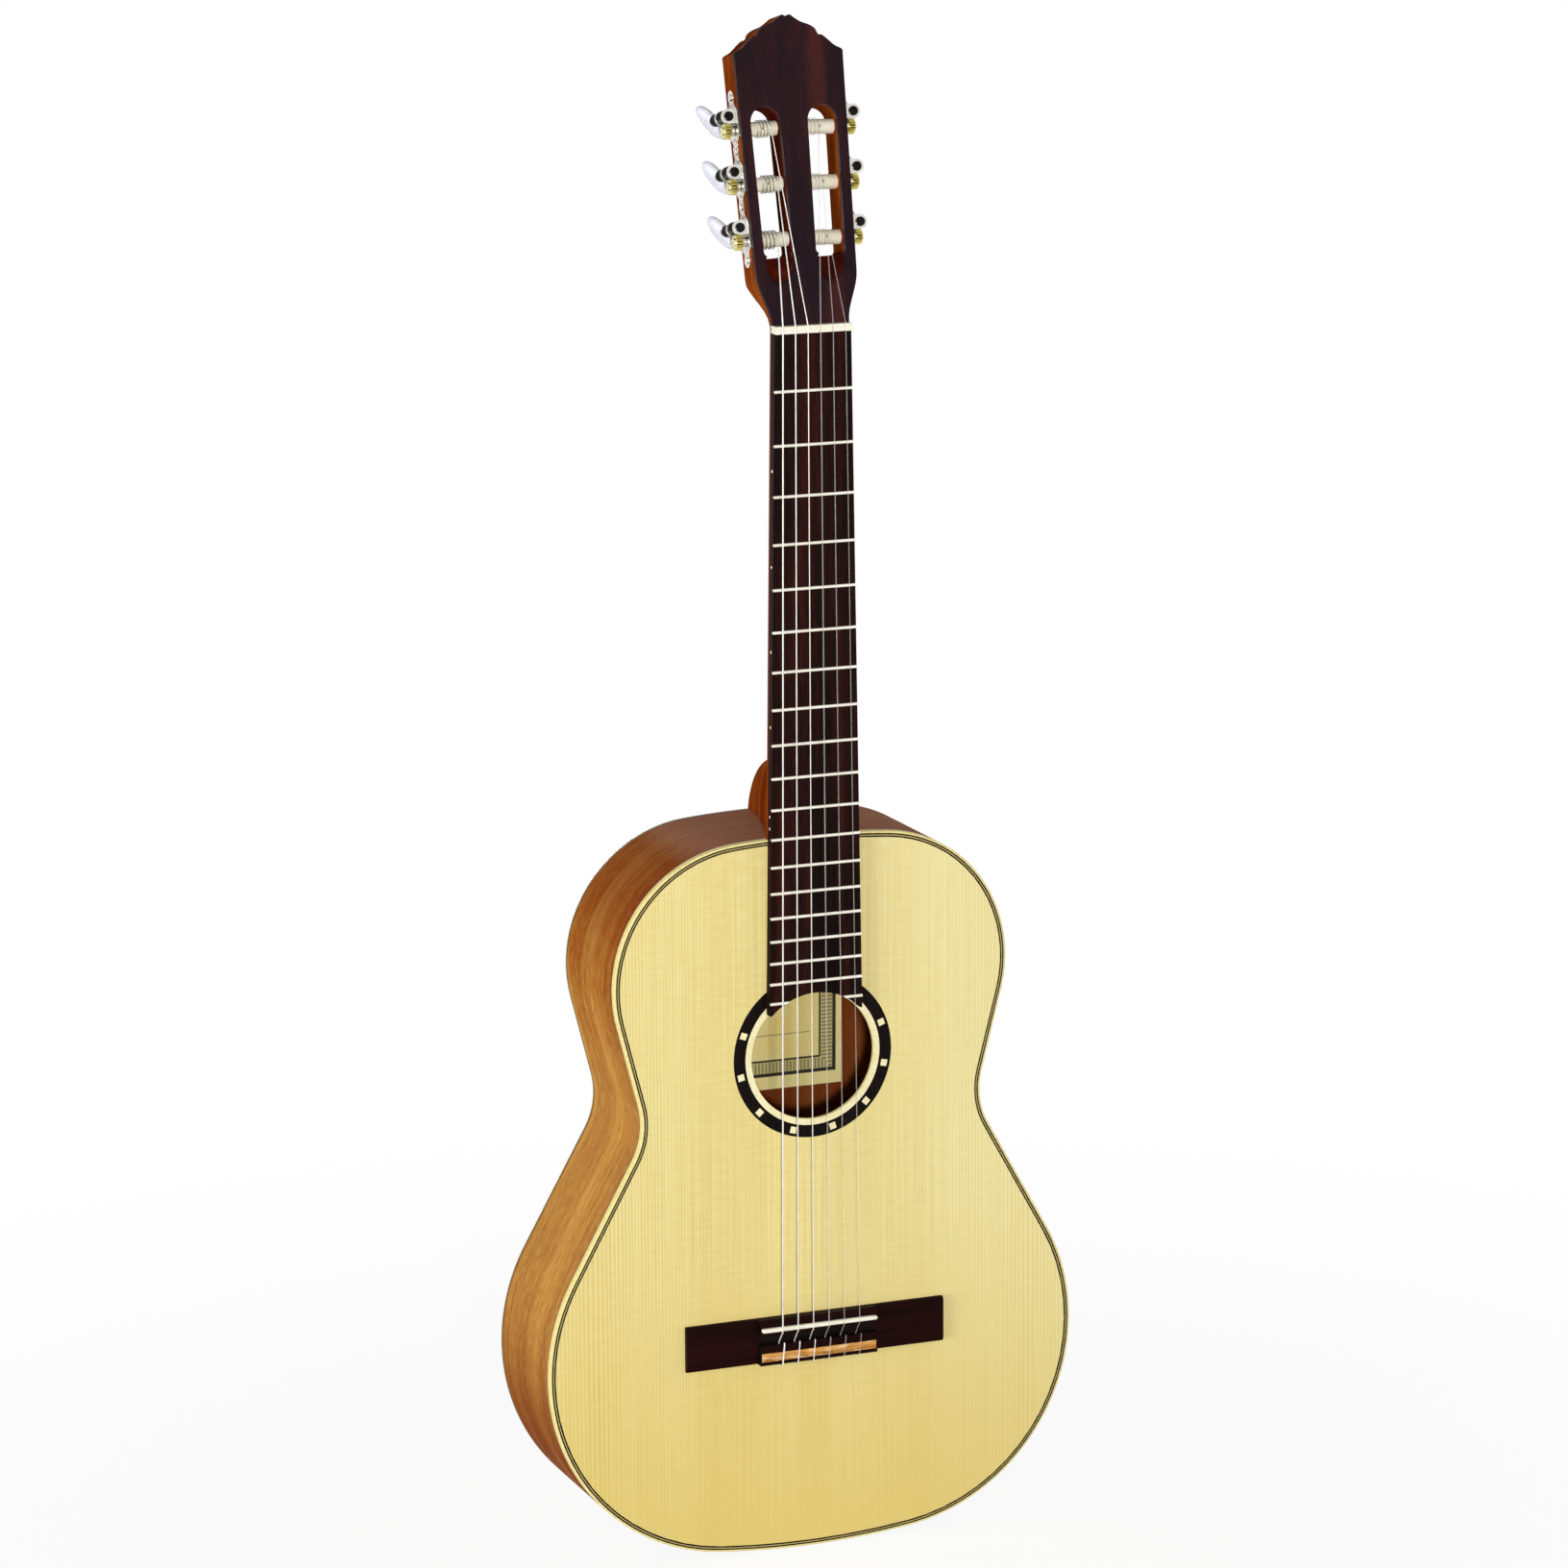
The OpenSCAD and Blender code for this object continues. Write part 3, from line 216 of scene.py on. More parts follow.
def streaked_wood(name, shades, along, mirrored=False, by_uv=False, shine=0.5, rough=0.36,
                  pores=0.5, wave=0.0, stripe=None, inside=None, ends=None, contrast=1.0, flecks=0.0):
    """Wood with long streaks and short dark pores along one axis; shades run from dark to light.

    A stripe is a band of another shade between two places across. Ends are painted light and shade:
    painted shade towards the body's two ends, painted light at its waist and a painted sheen on its
    upper side.
    Flecks are short pale and dark ticks.
    Inside is a darker, redder shade on faces turned to -Y."""
    finish, start = new_finish(name, Specular_IOR_Level=shine)
    spot = start.make("UVMap") if by_uv else object_spot(start)
    if mirrored:
        spot = spot.make("VectorMath", {"operation": "ABSOLUTE"}, {0: spot}, "Vector")
    sway = spot.streaks((9.0, 9.0, 9.0), 2.0) - 0.5
    across = ["XYZ"[(along + i) % 3] for i in (1, 2)]
    shift = sway.make("CombineXYZ", None, {across[0]: sway * 0.012, across[1]: sway * 0.009})
    bent = spot.make("VectorMath", {"operation": "ADD"}, {0: spot, 1: shift}, "Vector")

    def stretched(wide, length):
        return tuple(length if i == along else wide for i in range(3))

    broad = bent.streaks(stretched(34.0, 1.6), 3.0)
    band = bent.streaks(stretched(150.0, 3.0), 4.0, 0.6)
    fibre = bent.streaks(stretched(900.0, 16.0), 3.0, 0.65)
    pore = bent.streaks(stretched(1500.0, 95.0), 1.0, 0.4)
    mix = (broad * 0.5 + band * 0.32 + fibre * 0.2 - 0.51) * contrast + 0.51
    if wave:
        cross = spot.streaks(stretched(8.0, 34.0), 2.0)
        mix = mix + (cross - 0.5) * wave
    dark, low, high, light = (tone(shade) for shade in shades)
    colour = mix.ramp((0.36, dark), (0.47, low), (0.56, high), (0.68, light))
    if stripe:
        left, right, shade, share = stripe
        x = bent.axis("X") * 1000
        within = x.above(left, 6.0) * (1 - x.above(right, 6.0))
        colour = colour.blend(tone(shade), within * share * (0.5 + band))
    if flecks:
        tick = bent.streaks(stretched(420.0, 130.0), 1.0, 0.4)
        colour = colour.blend(light, tick.above(0.58, 0.12) * flecks)
        colour = colour.blend(low, (1 - tick.above(0.4, 0.12)) * flecks)
    # Painted shade darker at the body's upper and lower ends, painted light paler at its waist, and a
    # painted sheen on faces turned upwards
    if ends:
        z = object_spot(start).axis("Z")
        share = z.above(-0.42, 0.1) + (1 - z.above(-0.69, 0.1))
        middle = (1 - z.above(-0.48, 0.12)) * z.above(-0.7, 0.12)
        painted_sheen_up = start.make("TexCoord", out="Normal").axis("Z").above(0.93, 0.14)
        colour = colour.blend(tone(ends[0]), share * 0.66).blend(tone(ends[1]), middle * 0.36)
        colour = colour.blend(tone(ends[2]), painted_sheen_up * 0.5)
    if inside:
        inward = 0 - start.make("TexCoord", out="Normal").axis("Y")
        colour = colour.blend(tone(inside), inward.above(0.5, 0.4) * 0.75)
    mark = pore.above(0.64, 0.08) * pores
    feed(finish, Base_Color=colour.blend(dark, mark))
    feed(finish, Roughness=rough + fibre * 0.12)
    raise_relief(finish, fibre * 0.5 - mark * 0.8, strength=0.08, depth=0.0002)
    return finish


def plain_finish(name, shades, rough=0.28, coat=0.1, grain=(400.0, 400.0, 400.0), shine=0.5):
    """Plain polished stuff with faint clouds: rosette rings, bone and plastic."""
    finish, start = new_finish(name, Coat_Weight=coat, Coat_Roughness=0.12,
                               Specular_IOR_Level=shine)
    spot = object_spot(start)
    cloud = spot.streaks((60.0, 60.0, 60.0), 3.0)
    speck = spot.streaks(grain, 3.0, 0.6)
    share = cloud * 0.6 + speck * 0.4
    feed(finish, Base_Color=share.ramp((0.38, tone(shades[0])), (0.62, tone(shades[1]))))
    feed(finish, Roughness=rough + speck * 0.12 - 0.06)
    raise_relief(finish, speck, strength=0.03, depth=0.0002)
    return finish


def strips_finish(name, shades, edges):
    """Strips side by side, which meet at places in millimetres across the width of the inlay."""
    finish, start = new_finish(name, Specular_IOR_Level=0.1)
    across = start.make("UVMap").axis("Y") * 1000
    fibre = object_spot(start).streaks((500.0, 500.0, 500.0), 2.0)
    looks = [fibre.ramp((0.35, tone(dark)), (0.65, tone(light))) for dark, light in shades]
    colour = looks[0]
    for edge, look in zip(edges, looks[1:]):
        colour = colour.blend(look, across.above(edge, 0.08))
    feed(finish, Base_Color=colour)
    feed(finish, Roughness=0.3 + fibre * 0.1)
    raise_relief(finish, fibre, strength=0.03, depth=0.0002)
    return finish


def label_finish():
    """Aged paper with a printed double frame, a border of ticks and one ruled line."""
    finish, start = new_finish("label_paper_print", Roughness=0.75)
    spot = object_spot(start)
    below_hole = 4.3
    x = spot.axis("X") * 1000
    z = spot.axis("Z") * 1000 - (HOLE_Z - below_hole)
    fleck = spot.streaks((700.0, 700.0, 700.0), 3.0, 0.6)
    age = spot.streaks((30.0, 30.0, 30.0), 3.0)
    paper = (age * 0.7 + fleck * 0.3).ramp((0.35, tone("f0d980")), (0.65, tone("fbeca6")))

    def from_frame(half_width, half_height):
        return x.sum("MAXIMUM", abs(x) - half_width, abs(z) - half_height)

    outer = from_frame(51.7, 32.1)
    inner_x, inner_z = 41.5, 22.6
    inner = from_frame(inner_x, inner_z)
    thick = 1 - abs(outer).above(1.25, 0.2)
    thin = 1 - abs(inner).above(0.7, 0.2)
    border = (1 - outer.above(-1.4, 0.3)) * inner.above(1.0, 0.3)
    upright = (abs(x) - abs(z)).above(inner_x - inner_z)
    along = x + (z - x) * upright
    weave = along.sum("SINE", along * 2.5).above(0.0, 0.8)
    ruled = (1 - abs(z + 5).above(0.3, 0.15)) * (1 - abs(x).above(34.0, 0.3))
    ink = thick.sum("MAXIMUM", thick, thin)
    ink = ink.sum("MAXIMUM", ink, ruled * 0.7)
    inked = paper.blend(tone("6f6c44"), border * (0.4 + weave * 0.45))
    feed(finish, Base_Color=inked.blend(tone("060504"), ink * (0.9 + fleck * 0.15)))
    raise_relief(finish, fleck, strength=0.08, depth=0.0002)
    return finish


def metal_finish(name, shades, rough, metal=1.0):
    """Metal with haze and fine scratches; worn or lacquered metal is less than wholly metallic."""
    finish, start = new_finish(name, Metallic=metal)
    spot = object_spot(start)
    haze = spot.streaks((140.0, 140.0, 140.0), 3.0)
    line = spot.streaks((1800.0, 1800.0, 240.0), 2.0, 0.6)
    share = haze * 0.7 + line * 0.3
    feed(finish, Base_Color=share.ramp((0.35, tone(shades[0])), (0.65, tone(shades[1]))))
    feed(finish, Roughness=rough + (haze - 0.5) * 0.16 + (line - 0.5) * 0.12)
    raise_relief(finish, line, strength=0.04, depth=0.0001)
    return finish


def pearl_finish():
    """Swirled pearly plastic with fine flakes."""
    finish, start = new_finish("pearl_swirl", Coat_Weight=0.35, Coat_Roughness=0.08)
    spot = object_spot(start)
    sway = spot.make("TexNoise", None, {"Vector": spot, "Scale": 120.0, "Detail": 2.0}, "Color")
    bent = spot.blend(sway, 0.02)
    swirl = bent.streaks((260.0, 90.0, 260.0), 4.0, 0.6)
    flake = spot.streaks((900.0, 900.0, 900.0), 2.0)
    colour = (swirl * 0.8 + flake * 0.2).ramp(
        (0.36, tone("c3c4d6")), (0.48, tone("e8e8f1")), (0.58, tone("d9dcec")), (0.68, tone("f6f5f8")))
    feed(finish, Base_Color=colour)
    feed(finish, Roughness=0.16 + swirl * 0.2)
    raise_relief(finish, flake, strength=0.02, depth=0.0002)
    return finish


def nylon_finish():
    """Clear string that lets most of what lies behind it show."""
    finish, start = new_finish("clear_nylon", Alpha=0.2, Coat_Weight=0.1, Coat_Roughness=0.1)
    spot = object_spot(start)
    cloud = spot.streaks((500.0, 500.0, 60.0), 2.0)
    feed(finish, Base_Color=cloud.ramp((0.35, tone("d2cec8")), (0.65, tone("e8e4dc"))))
    feed(finish, Roughness=0.2 + cloud * 0.14)
    return finish


finishes = {
    "spruce": spruce_finish(),
    # The rib's ends tones are painted shade at the ends, painted light at the waist and a painted sheen
    # on upward faces
    "rib_wood": streaked_wood(
        "rib_mahogany", ("8e4714", "b06a24", "c78739", "dcaa5e"), 0, by_uv=True, shine=0.006, rough=0.5,
        wave=0.2, ends=("823008", "e2b060", "cc9a80"), contrast=1.7, flecks=0.3),
    "back_wood": streaked_wood(
        "back_mahogany", ("7c3c12", "99541e", "b06d2d", "c48742"), 2, mirrored=True, wave=0.1, shine=0.1,
        pores=0.35, inside="662610"),
    "neck_wood": streaked_wood(
        "neck_mahogany", ("62230a", "7c340e", "964a18", "ad6226"), 2, shine=0.0, rough=0.5),
    # Painted shade: darker mahogany for the shaded string ramps and the bass slot's walls
    "ramp_painted_shade": streaked_wood(
        "ramp_painted_shade_mahogany", ("35100a", "4a160c", "5f2010", "7c2e16"), 2, shine=0.0, rough=0.5),
    "rosewood": streaked_wood(
        "board_rosewood", ("0b0807", "150d0b", "25120f", "431b15"), 2, shine=0.02, rough=0.45,
        contrast=1.3),
    "facing": streaked_wood(
        "facing_rosewood", ("181118", "20141a", "2b171b", "3c2020"), 2, shine=0.05, rough=0.4,
        stripe=(12.5, 22.5, "4d2420", 0.6)),
    "bridge_wood": streaked_wood(
        "bridge_rosewood", ("100504", "1c0908", "270d0b", "3c1714"), 0, shine=0.03, rough=0.45),
    "inner_wood": streaked_wood(
        "inside_softwood", ("a47c44", "bb935a", "cba86e", "d9bc86"), 0, shine=0.2, rough=0.6),
    "inlay": streaked_wood(
        "tie_inlay", ("a0642a", "d89c54", "ecba74", "f8daa6"), 0, pores=0.8, shine=0.0, contrast=1.3,
        flecks=0.5),
    "cream": strips_finish("cream_strips", (("e8d584", "f2e4a0"), ("5a3812", "74491a")), (5.5,)),
    "gold": strips_finish("golden_strips", (("bc9a36", "d2b654"), ("2c1606", "4a2a0c")), (2.8,)),
    "purfling": strips_finish(
        "purfling_strips", (("060403", "120c08"), ("bca664", "ccb87a"), ("060403", "120c08")),
        (1.0, 1.6)),
    "pale": plain_finish("rosette_cream", ("eee0a0", "f8f0c8"), coat=0.05),
    "dark": plain_finish(
        "dark_strip", ("0b0706", "18100d"), coat=0.0, grain=(900.0, 900.0, 120.0), shine=0.05),
    "label": label_finish(),
    "bone": plain_finish("bone_polish", ("f2ebd4", "fbf6e6"), rough=0.25),
    "roller": plain_finish("roller_plastic", ("eee6c8", "faf5e0"), rough=0.25),
    "fret": metal_finish("fret_wire_pale", ("f0e9d6", "fffaf0"), rough=0.4, metal=0.5),
    "nickel": metal_finish("bright_nickel", ("c6c3b9", "e6e3da"), rough=0.24),
    "brass": metal_finish("gear_brass_cut", ("bcae56", "ece2a0"), rough=0.3),
    # Painted shade: dark brass for the gear's tooth roots
    "brass_root_shade": metal_finish("gear_brass_root", ("2e2409", "594818"), rough=0.5),
    "engraving": metal_finish("plate_engraving", ("86837a", "aeaba0"), rough=0.4),
    # Painted shade: a darker grey for the wound strings' coils, for the shade between their windings
    "coil": metal_finish("wound_coil_painted_shade", ("8d877b", "c4beb0"), rough=0.4, metal=0.6),
    "black": metal_finish("black_shaft", ("141312", "262422"), rough=0.34),
    "pearl": pearl_finish(),
    "nylon": nylon_finish(),
    "wound": metal_finish("wound_silver", ("dcd8ce", "efece4"), rough=0.4, metal=0.3),
}


# Making pieces

DOUBLES = 2e-6


def deselect():
    if bpy.context.mode != "OBJECT":
        bpy.ops.object.mode_set(mode="OBJECT")
    bpy.ops.object.select_all(action="DESELECT")


def choose(piece):
    deselect()
    piece.select_set(True)
    bpy.context.view_layer.objects.active = piece


def close_up(piece, angle=35, fill=True):
    """Merges doubles, closes open ends, turns the faces outwards and smooths the blunt edges."""
    choose(piece)
    bpy.ops.object.mode_set(mode="EDIT")
    bpy.ops.mesh.select_all(action="SELECT")
    bpy.ops.mesh.remove_doubles(threshold=DOUBLES)
    if fill:
        bpy.ops.mesh.fill_holes(sides=0)
    bpy.ops.mesh.select_all(action="SELECT")
    bpy.ops.mesh.normals_make_consistent(inside=False)
    bpy.ops.object.mode_set(mode="OBJECT")
    bpy.ops.object.shade_smooth_by_angle(angle=math.radians(angle))


def dress(piece, body, slot, *looks, instead=()):
    """Gives a piece its finishes and its body, and hides the nodes that it stands for."""
    piece.data.materials.clear()
    for look in looks:
        piece.data.materials.append(finishes[look])
    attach(piece, body)
    if instead:
        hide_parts(*instead)
    return piece


def grid_piece(name, rows, columns, place, measure=None, angle=35):
    """A sheet of rows by columns whose corners go where place says; measure gives its UV in metres."""
    deselect()
    bpy.ops.mesh.primitive_grid_add(x_subdivisions=columns, y_subdivisions=rows, size=1)
    piece = bpy.context.object
    piece.name = piece.data.name = name
    mesh = piece.data
    spots = [(round((v.co.y + 0.5) * rows), round((v.co.x + 0.5) * columns))
             for v in mesh.vertices]
    if measure:
        layer = mesh.uv_layers.active.data
        for loop in mesh.loops:
            layer[loop.index].uv = measure(*spots[loop.vertex_index])
    for vertex, spot in zip(mesh.vertices, spots):
        vertex.co = Vector(place(*spot)) * MM
    close_up(piece, angle)
    return piece


def refined(node, bevel):
    """A copy of a solid with merged corners and edges rounded by a width."""
    source = nodes[node]
    piece = source.copy()
    piece.data = source.data.copy()
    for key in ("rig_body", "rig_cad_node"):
        del piece[key]
    piece.parent = None
    piece.name = piece.data.name = node + "_finished"
    bpy.context.scene.collection.objects.link(piece)
    choose(piece)
    if piece.data.has_custom_normals:
        bpy.ops.mesh.customdata_custom_splitnormals_clear()
    bpy.ops.object.mode_set(mode="EDIT")
    bpy.ops.mesh.select_all(action="SELECT")
    bpy.ops.mesh.remove_doubles(threshold=DOUBLES)
    bpy.ops.mesh.dissolve_limited(angle_limit=math.radians(0.6))
    bpy.ops.object.mode_set(mode="OBJECT")
    edge = piece.modifiers.new("edge", "BEVEL")
    edge.width = bevel * MM
    edge.segments = 2
    edge.limit_method = "ANGLE"
    edge.angle_limit = math.radians(30)
    edge.harden_normals = False
    bpy.ops.object.modifier_apply(modifier="edge")
    bpy.ops.object.shade_smooth_by_angle(angle=math.radians(40))
    even = piece.modifiers.new("even", "WEIGHTED_NORMAL")
    even.keep_sharp = True
    bpy.ops.object.modifier_apply(modifier="even")
    return piece


def tube(name, lines, radius, sides=3):
    """Round wires along lines of points, as one mesh."""
    curve = bpy.data.curves.new(name, "CURVE")
    curve.dimensions = "3D"
    curve.bevel_depth = radius * MM
    curve.bevel_resolution = sides
    curve.use_fill_caps = True
    for points in lines:
        spline = curve.splines.new("POLY")
        spline.points.add(len(points) - 1)
        for spot, point in zip(spline.points, points):
            spot.co = (*(Vector(point) * MM), 1.0)
    piece = bpy.data.objects.new(name, curve)
    bpy.context.scene.collection.objects.link(piece)
    choose(piece)
    bpy.ops.object.convert(target="MESH")
    piece = bpy.context.object
    close_up(piece, angle=50, fill=False)
    return piece


def turned(name, profile, sides=32):
    """A piece turned about its Z axis: a circle drawn out along radius and height pairs."""
    deselect()
    radius, height = profile[0]
    bpy.ops.mesh.primitive_circle_add(vertices=sides, radius=radius * MM, fill_type="NGON",
                                      location=(0, 0, 0))
    piece = bpy.context.object
    piece.name = piece.data.name = name
    bpy.ops.object.mode_set(mode="EDIT")
    bpy.ops.mesh.select_all(action="SELECT")
    bpy.ops.transform.translate(value=(0, 0, height * MM))
    for wide, high in profile[1:]:
        move = {"value": (0, 0, (high - height) * MM)}
        bpy.ops.mesh.extrude_region_move(TRANSFORM_OT_translate=move)
        grow = wide / radius
        bpy.ops.transform.resize(value=(grow, grow, 1), center_override=(0, 0, high * MM))
        radius, height = wide, high
    bpy.ops.object.mode_set(mode="OBJECT")
    close_up(piece)
    return piece


def carry(piece, way):
    """Moves each corner by a rule on millimetres, then turns the faces outwards again."""
    for vertex in piece.data.vertices:
        vertex.co = Vector(way(*(vertex.co / MM))) * MM
    choose(piece)
    bpy.ops.object.mode_set(mode="EDIT")
    bpy.ops.mesh.select_all(action="SELECT")
    bpy.ops.mesh.normals_make_consistent(inside=False)
    bpy.ops.object.mode_set(mode="OBJECT")


# Body outline: five arcs with straight tangents at the waist

SHOULDER_R = 607.0
TAIL_R = 568.0
UPPER_HALF, UPPER_FROM_TOP = 136.5, 92.5
WAIST_HALF, WAIST_FROM_TOP = 118.2, 181.0
LOWER_HALF, LOWER_FROM_TAIL = 183.6, 134.9
WAIST_R = 49.0
LINE_STEP = 5.0


def bout_r(half, reach, end_r):
    """Radius of a bout's arc, which touches the arc of the body's end."""
    return (2 * reach * end_r - half * half - reach * reach) / (2 * (end_r - half))


def edge_line():
    """Points of the outline's treble half and their outward ways, from the neck to the tail."""
    upper_r = bout_r(UPPER_HALF, UPPER_FROM_TOP, SHOULDER_R)
    lower_r = bout_r(LOWER_HALF, LOWER_FROM_TAIL, TAIL_R)
    shoulder_c = Vector((0, BODY_Z - SHOULDER_R))
    upper_c = Vector((UPPER_HALF - upper_r, BODY_Z - UPPER_FROM_TOP))
    lower_c = Vector((LOWER_HALF - lower_r, TAIL_Z + LOWER_FROM_TAIL))
    tail_c = Vector((0, TAIL_Z + TAIL_R))
    waist_point = Vector((WAIST_HALF, BODY_Z - WAIST_FROM_TOP))

    def waist_limit(c, r):
        a = waist_point - c
        return 0.98 * (a.dot(a) - r * r) / (2 * (r - a.x))

    waist_r = min(WAIST_R, waist_limit(upper_c, upper_r), waist_limit(lower_c, lower_r))
    waist_c = waist_point + Vector((waist_r, 0))

    def heading(v):
        return math.atan2(v.y, v.x)

    def swing(r, way):
        return math.acos((r + waist_r) / way.length)

    to_waist, to_lower = waist_c - upper_c, lower_c - waist_c
    shoulder_end = heading(upper_c - shoulder_c)
    upper_end = heading(to_waist) + swing(upper_r, to_waist)
    waist_end = heading(to_lower) + 2 * math.pi - swing(lower_r, to_lower)
    tail_start = heading(lower_c - tail_c)
    runs = [
        (shoulder_c, SHOULDER_R, math.pi / 2, shoulder_end, 1),
        (upper_c, upper_r, shoulder_end, upper_end, 1),
        (waist_c, waist_r, upper_end + math.pi, waist_end, -1),
        (lower_c, lower_r, waist_end - math.pi, tail_start, 1),
        (tail_c, TAIL_R, tail_start, -math.pi / 2, 1),
    ]
    line = []
    for centre, r, start, end, out in runs:
        steps = max(4, math.ceil(abs(end - start) * max(r, 60) / LINE_STEP))
        for i in range(steps + 1):
            t = start + (end - start) * i / steps
            way = Vector((math.cos(t), math.sin(t)))
            point = centre + r * way
            if not line or (point - line[-1][0]).length > 0.05:
                line.append((point, out * way))
    return line


half_line = edge_line()
bass_line = [(Vector((-p.x, p.y)), Vector((-n.x, n.y))) for p, n in half_line]
full_line = half_line + bass_line[-2::-1]


# Depths of the body, and the widths and depths of the strips at its edges
TOP_DEPTH = 90.0
TAIL_DEPTH = 98.0
BOARD_T = 2.6
RIB_IN = 2.2
BINDING = 1.4
FRONT_BINDING = 5.5
BACK_BINDING = 3.4
PURFLING_IN = 4.0
PURFLING_DEPTH = 1.4
EDGE_ROUND = ((0.7, 0.0), (0.34, 0.1), (0.1, 0.34), (0.0, 0.7))


def back_y(z):
    return TOP_DEPTH + (BODY_Z - z) * (TAIL_DEPTH - TOP_DEPTH) / (BODY_Z - TAIL_Z)


def swept(name, line, section, angle=35):
    """A strip along the outline; section gives inset and depth pairs at a height."""
    lengths = [0.0]
    for (a, _), (b, _) in zip(line, line[1:]):
        lengths.append(lengths[-1] + (b - a).length)
    across = [0.0]
    flat = section(BODY_Z)
    for a, b in zip(flat, flat[1:]):
        across.append(across[-1] + math.dist(a, b))

    def place(row, column):
        point, out = line[row]
        inset, y = section(point.y)[column]
        return (point.x - out.x * inset, y, point.y - out.y * inset)

    def measure(row, column):
        return (lengths[row] * MM, across[column] * MM)

    return grid_piece(name, len(line) - 1, len(flat) - 1, place, measure, angle)


def rib_section(z):
    inside = back_y(z) - BOARD_T
    edge = back_y(z) - BACK_BINDING
    return [
        (0, FRONT_BINDING), (0, edge), (BINDING, edge), (BINDING, inside), (RIB_IN, inside),
        (RIB_IN, BOARD_T), (BINDING, BOARD_T), (BINDING, FRONT_BINDING), (0, FRONT_BINDING)]


def front_binding_section(z):
    return [(BINDING, 0), *EDGE_ROUND, (0, FRONT_BINDING), (BINDING, FRONT_BINDING), (BINDING, 0)]


def back_binding_section(z):
    y = back_y(z)
    edge = y - BACK_BINDING
    rounded = [(inset, y - depth) for inset, depth in EDGE_ROUND]
    return [(BINDING, y), *rounded, (0, edge), (BINDING, edge), (BINDING, y)]


def purfling_section(z):
    return [
        (BINDING, 0), (PURFLING_IN, 0), (PURFLING_IN, PURFLING_DEPTH), (BINDING, PURFLING_DEPTH),
        (BINDING, 0)]


for side, line in (("treble", half_line), ("bass", bass_line)):
    rib = swept("rib_" + side + "_bent", line, rib_section)
    dress(rib, "guitar", "mahogany", "rib_wood", instead=("rib_" + side,))
binding = swept("front_binding", full_line, front_binding_section, angle=60)
dress(binding, "guitar", "cream_strip", "cream", instead=("binding_front",))
binding = swept("back_binding", full_line, back_binding_section, angle=60)
dress(binding, "guitar", "cream_strip", "gold", instead=("binding_back",))
purfling = swept("purfling_strips", full_line, purfling_section)
dress(purfling, "guitar", "dark_strip", "purfling", instead=("purfling_front",))


# Neck with its heel

NUT_WIDTH = 52.0
BODY_WIDTH = 61.0
NUT_DEEP = 15.0
BODY_DEEP = 17.5
HEEL_TIP = 89.0
HEEL_TIP_HALF = 9.0
HEEL_SPREAD = 21.5
HEEL_REACH = 45.0
HEEL_SWEEP = 40.0
HEEL_START = 75.0
HEEL_BLEND = 3.0
HEAD_TILT = 12.0
BEND_START, BEND_END = 30.0, -5.0
BODY_CONTACT = 10.0


def board_half(s):
    return (NUT_WIDTH + (BODY_WIDTH - NUT_WIDTH) * s / JOIN) / 2


def neck_depth(s):
    return NUT_DEEP + (BODY_DEEP - NUT_DEEP) * s / JOIN


def heel_half(y):
    return HEEL_TIP_HALF + HEEL_SPREAD * max(0.0, 1 - y / HEEL_TIP) ** 1.5


def heel_length(y):
    """Reach of the heel from the body at a depth, with a sweep into the shaft."""
    share = max(0.0, 1 - (y / HEEL_TIP / 1.012) ** 2.6)
    return HEEL_REACH * share ** 0.32 + HEEL_SWEEP * math.exp(-y / 8.0)


def soft_max(a, b, k):
    h = max(0.0, 1 - abs(a - b) / k)
    return max(a, b) + h * h * k / 4


def neck_stations():
    """Distances from the nut, closer together where the heel turns."""
    near = [72, 68, 64, 60, 57, 54, 52, 50, 48.5, 47, 46, 45, 44.2, 43.4, 42.5, 41.5, 40.5, 39, 37.5]
    near += [36, 34, 32, 30, 28, 26, 24, 22, 20, 18.5, 17, 16, 15.2, 14.5, 13.5, 12, 10, 8, 6, 4, 2, 0.0]
    bend = [BEND_END + (BEND_START - BEND_END) * i / 14 for i in range(15)]
    shaft = [BEND_START + 12.0 * i for i in range(1, 20)]
    return bend + [s for s in shaft if s < JOIN - HEEL_START - 1] + [JOIN - a for a in near]


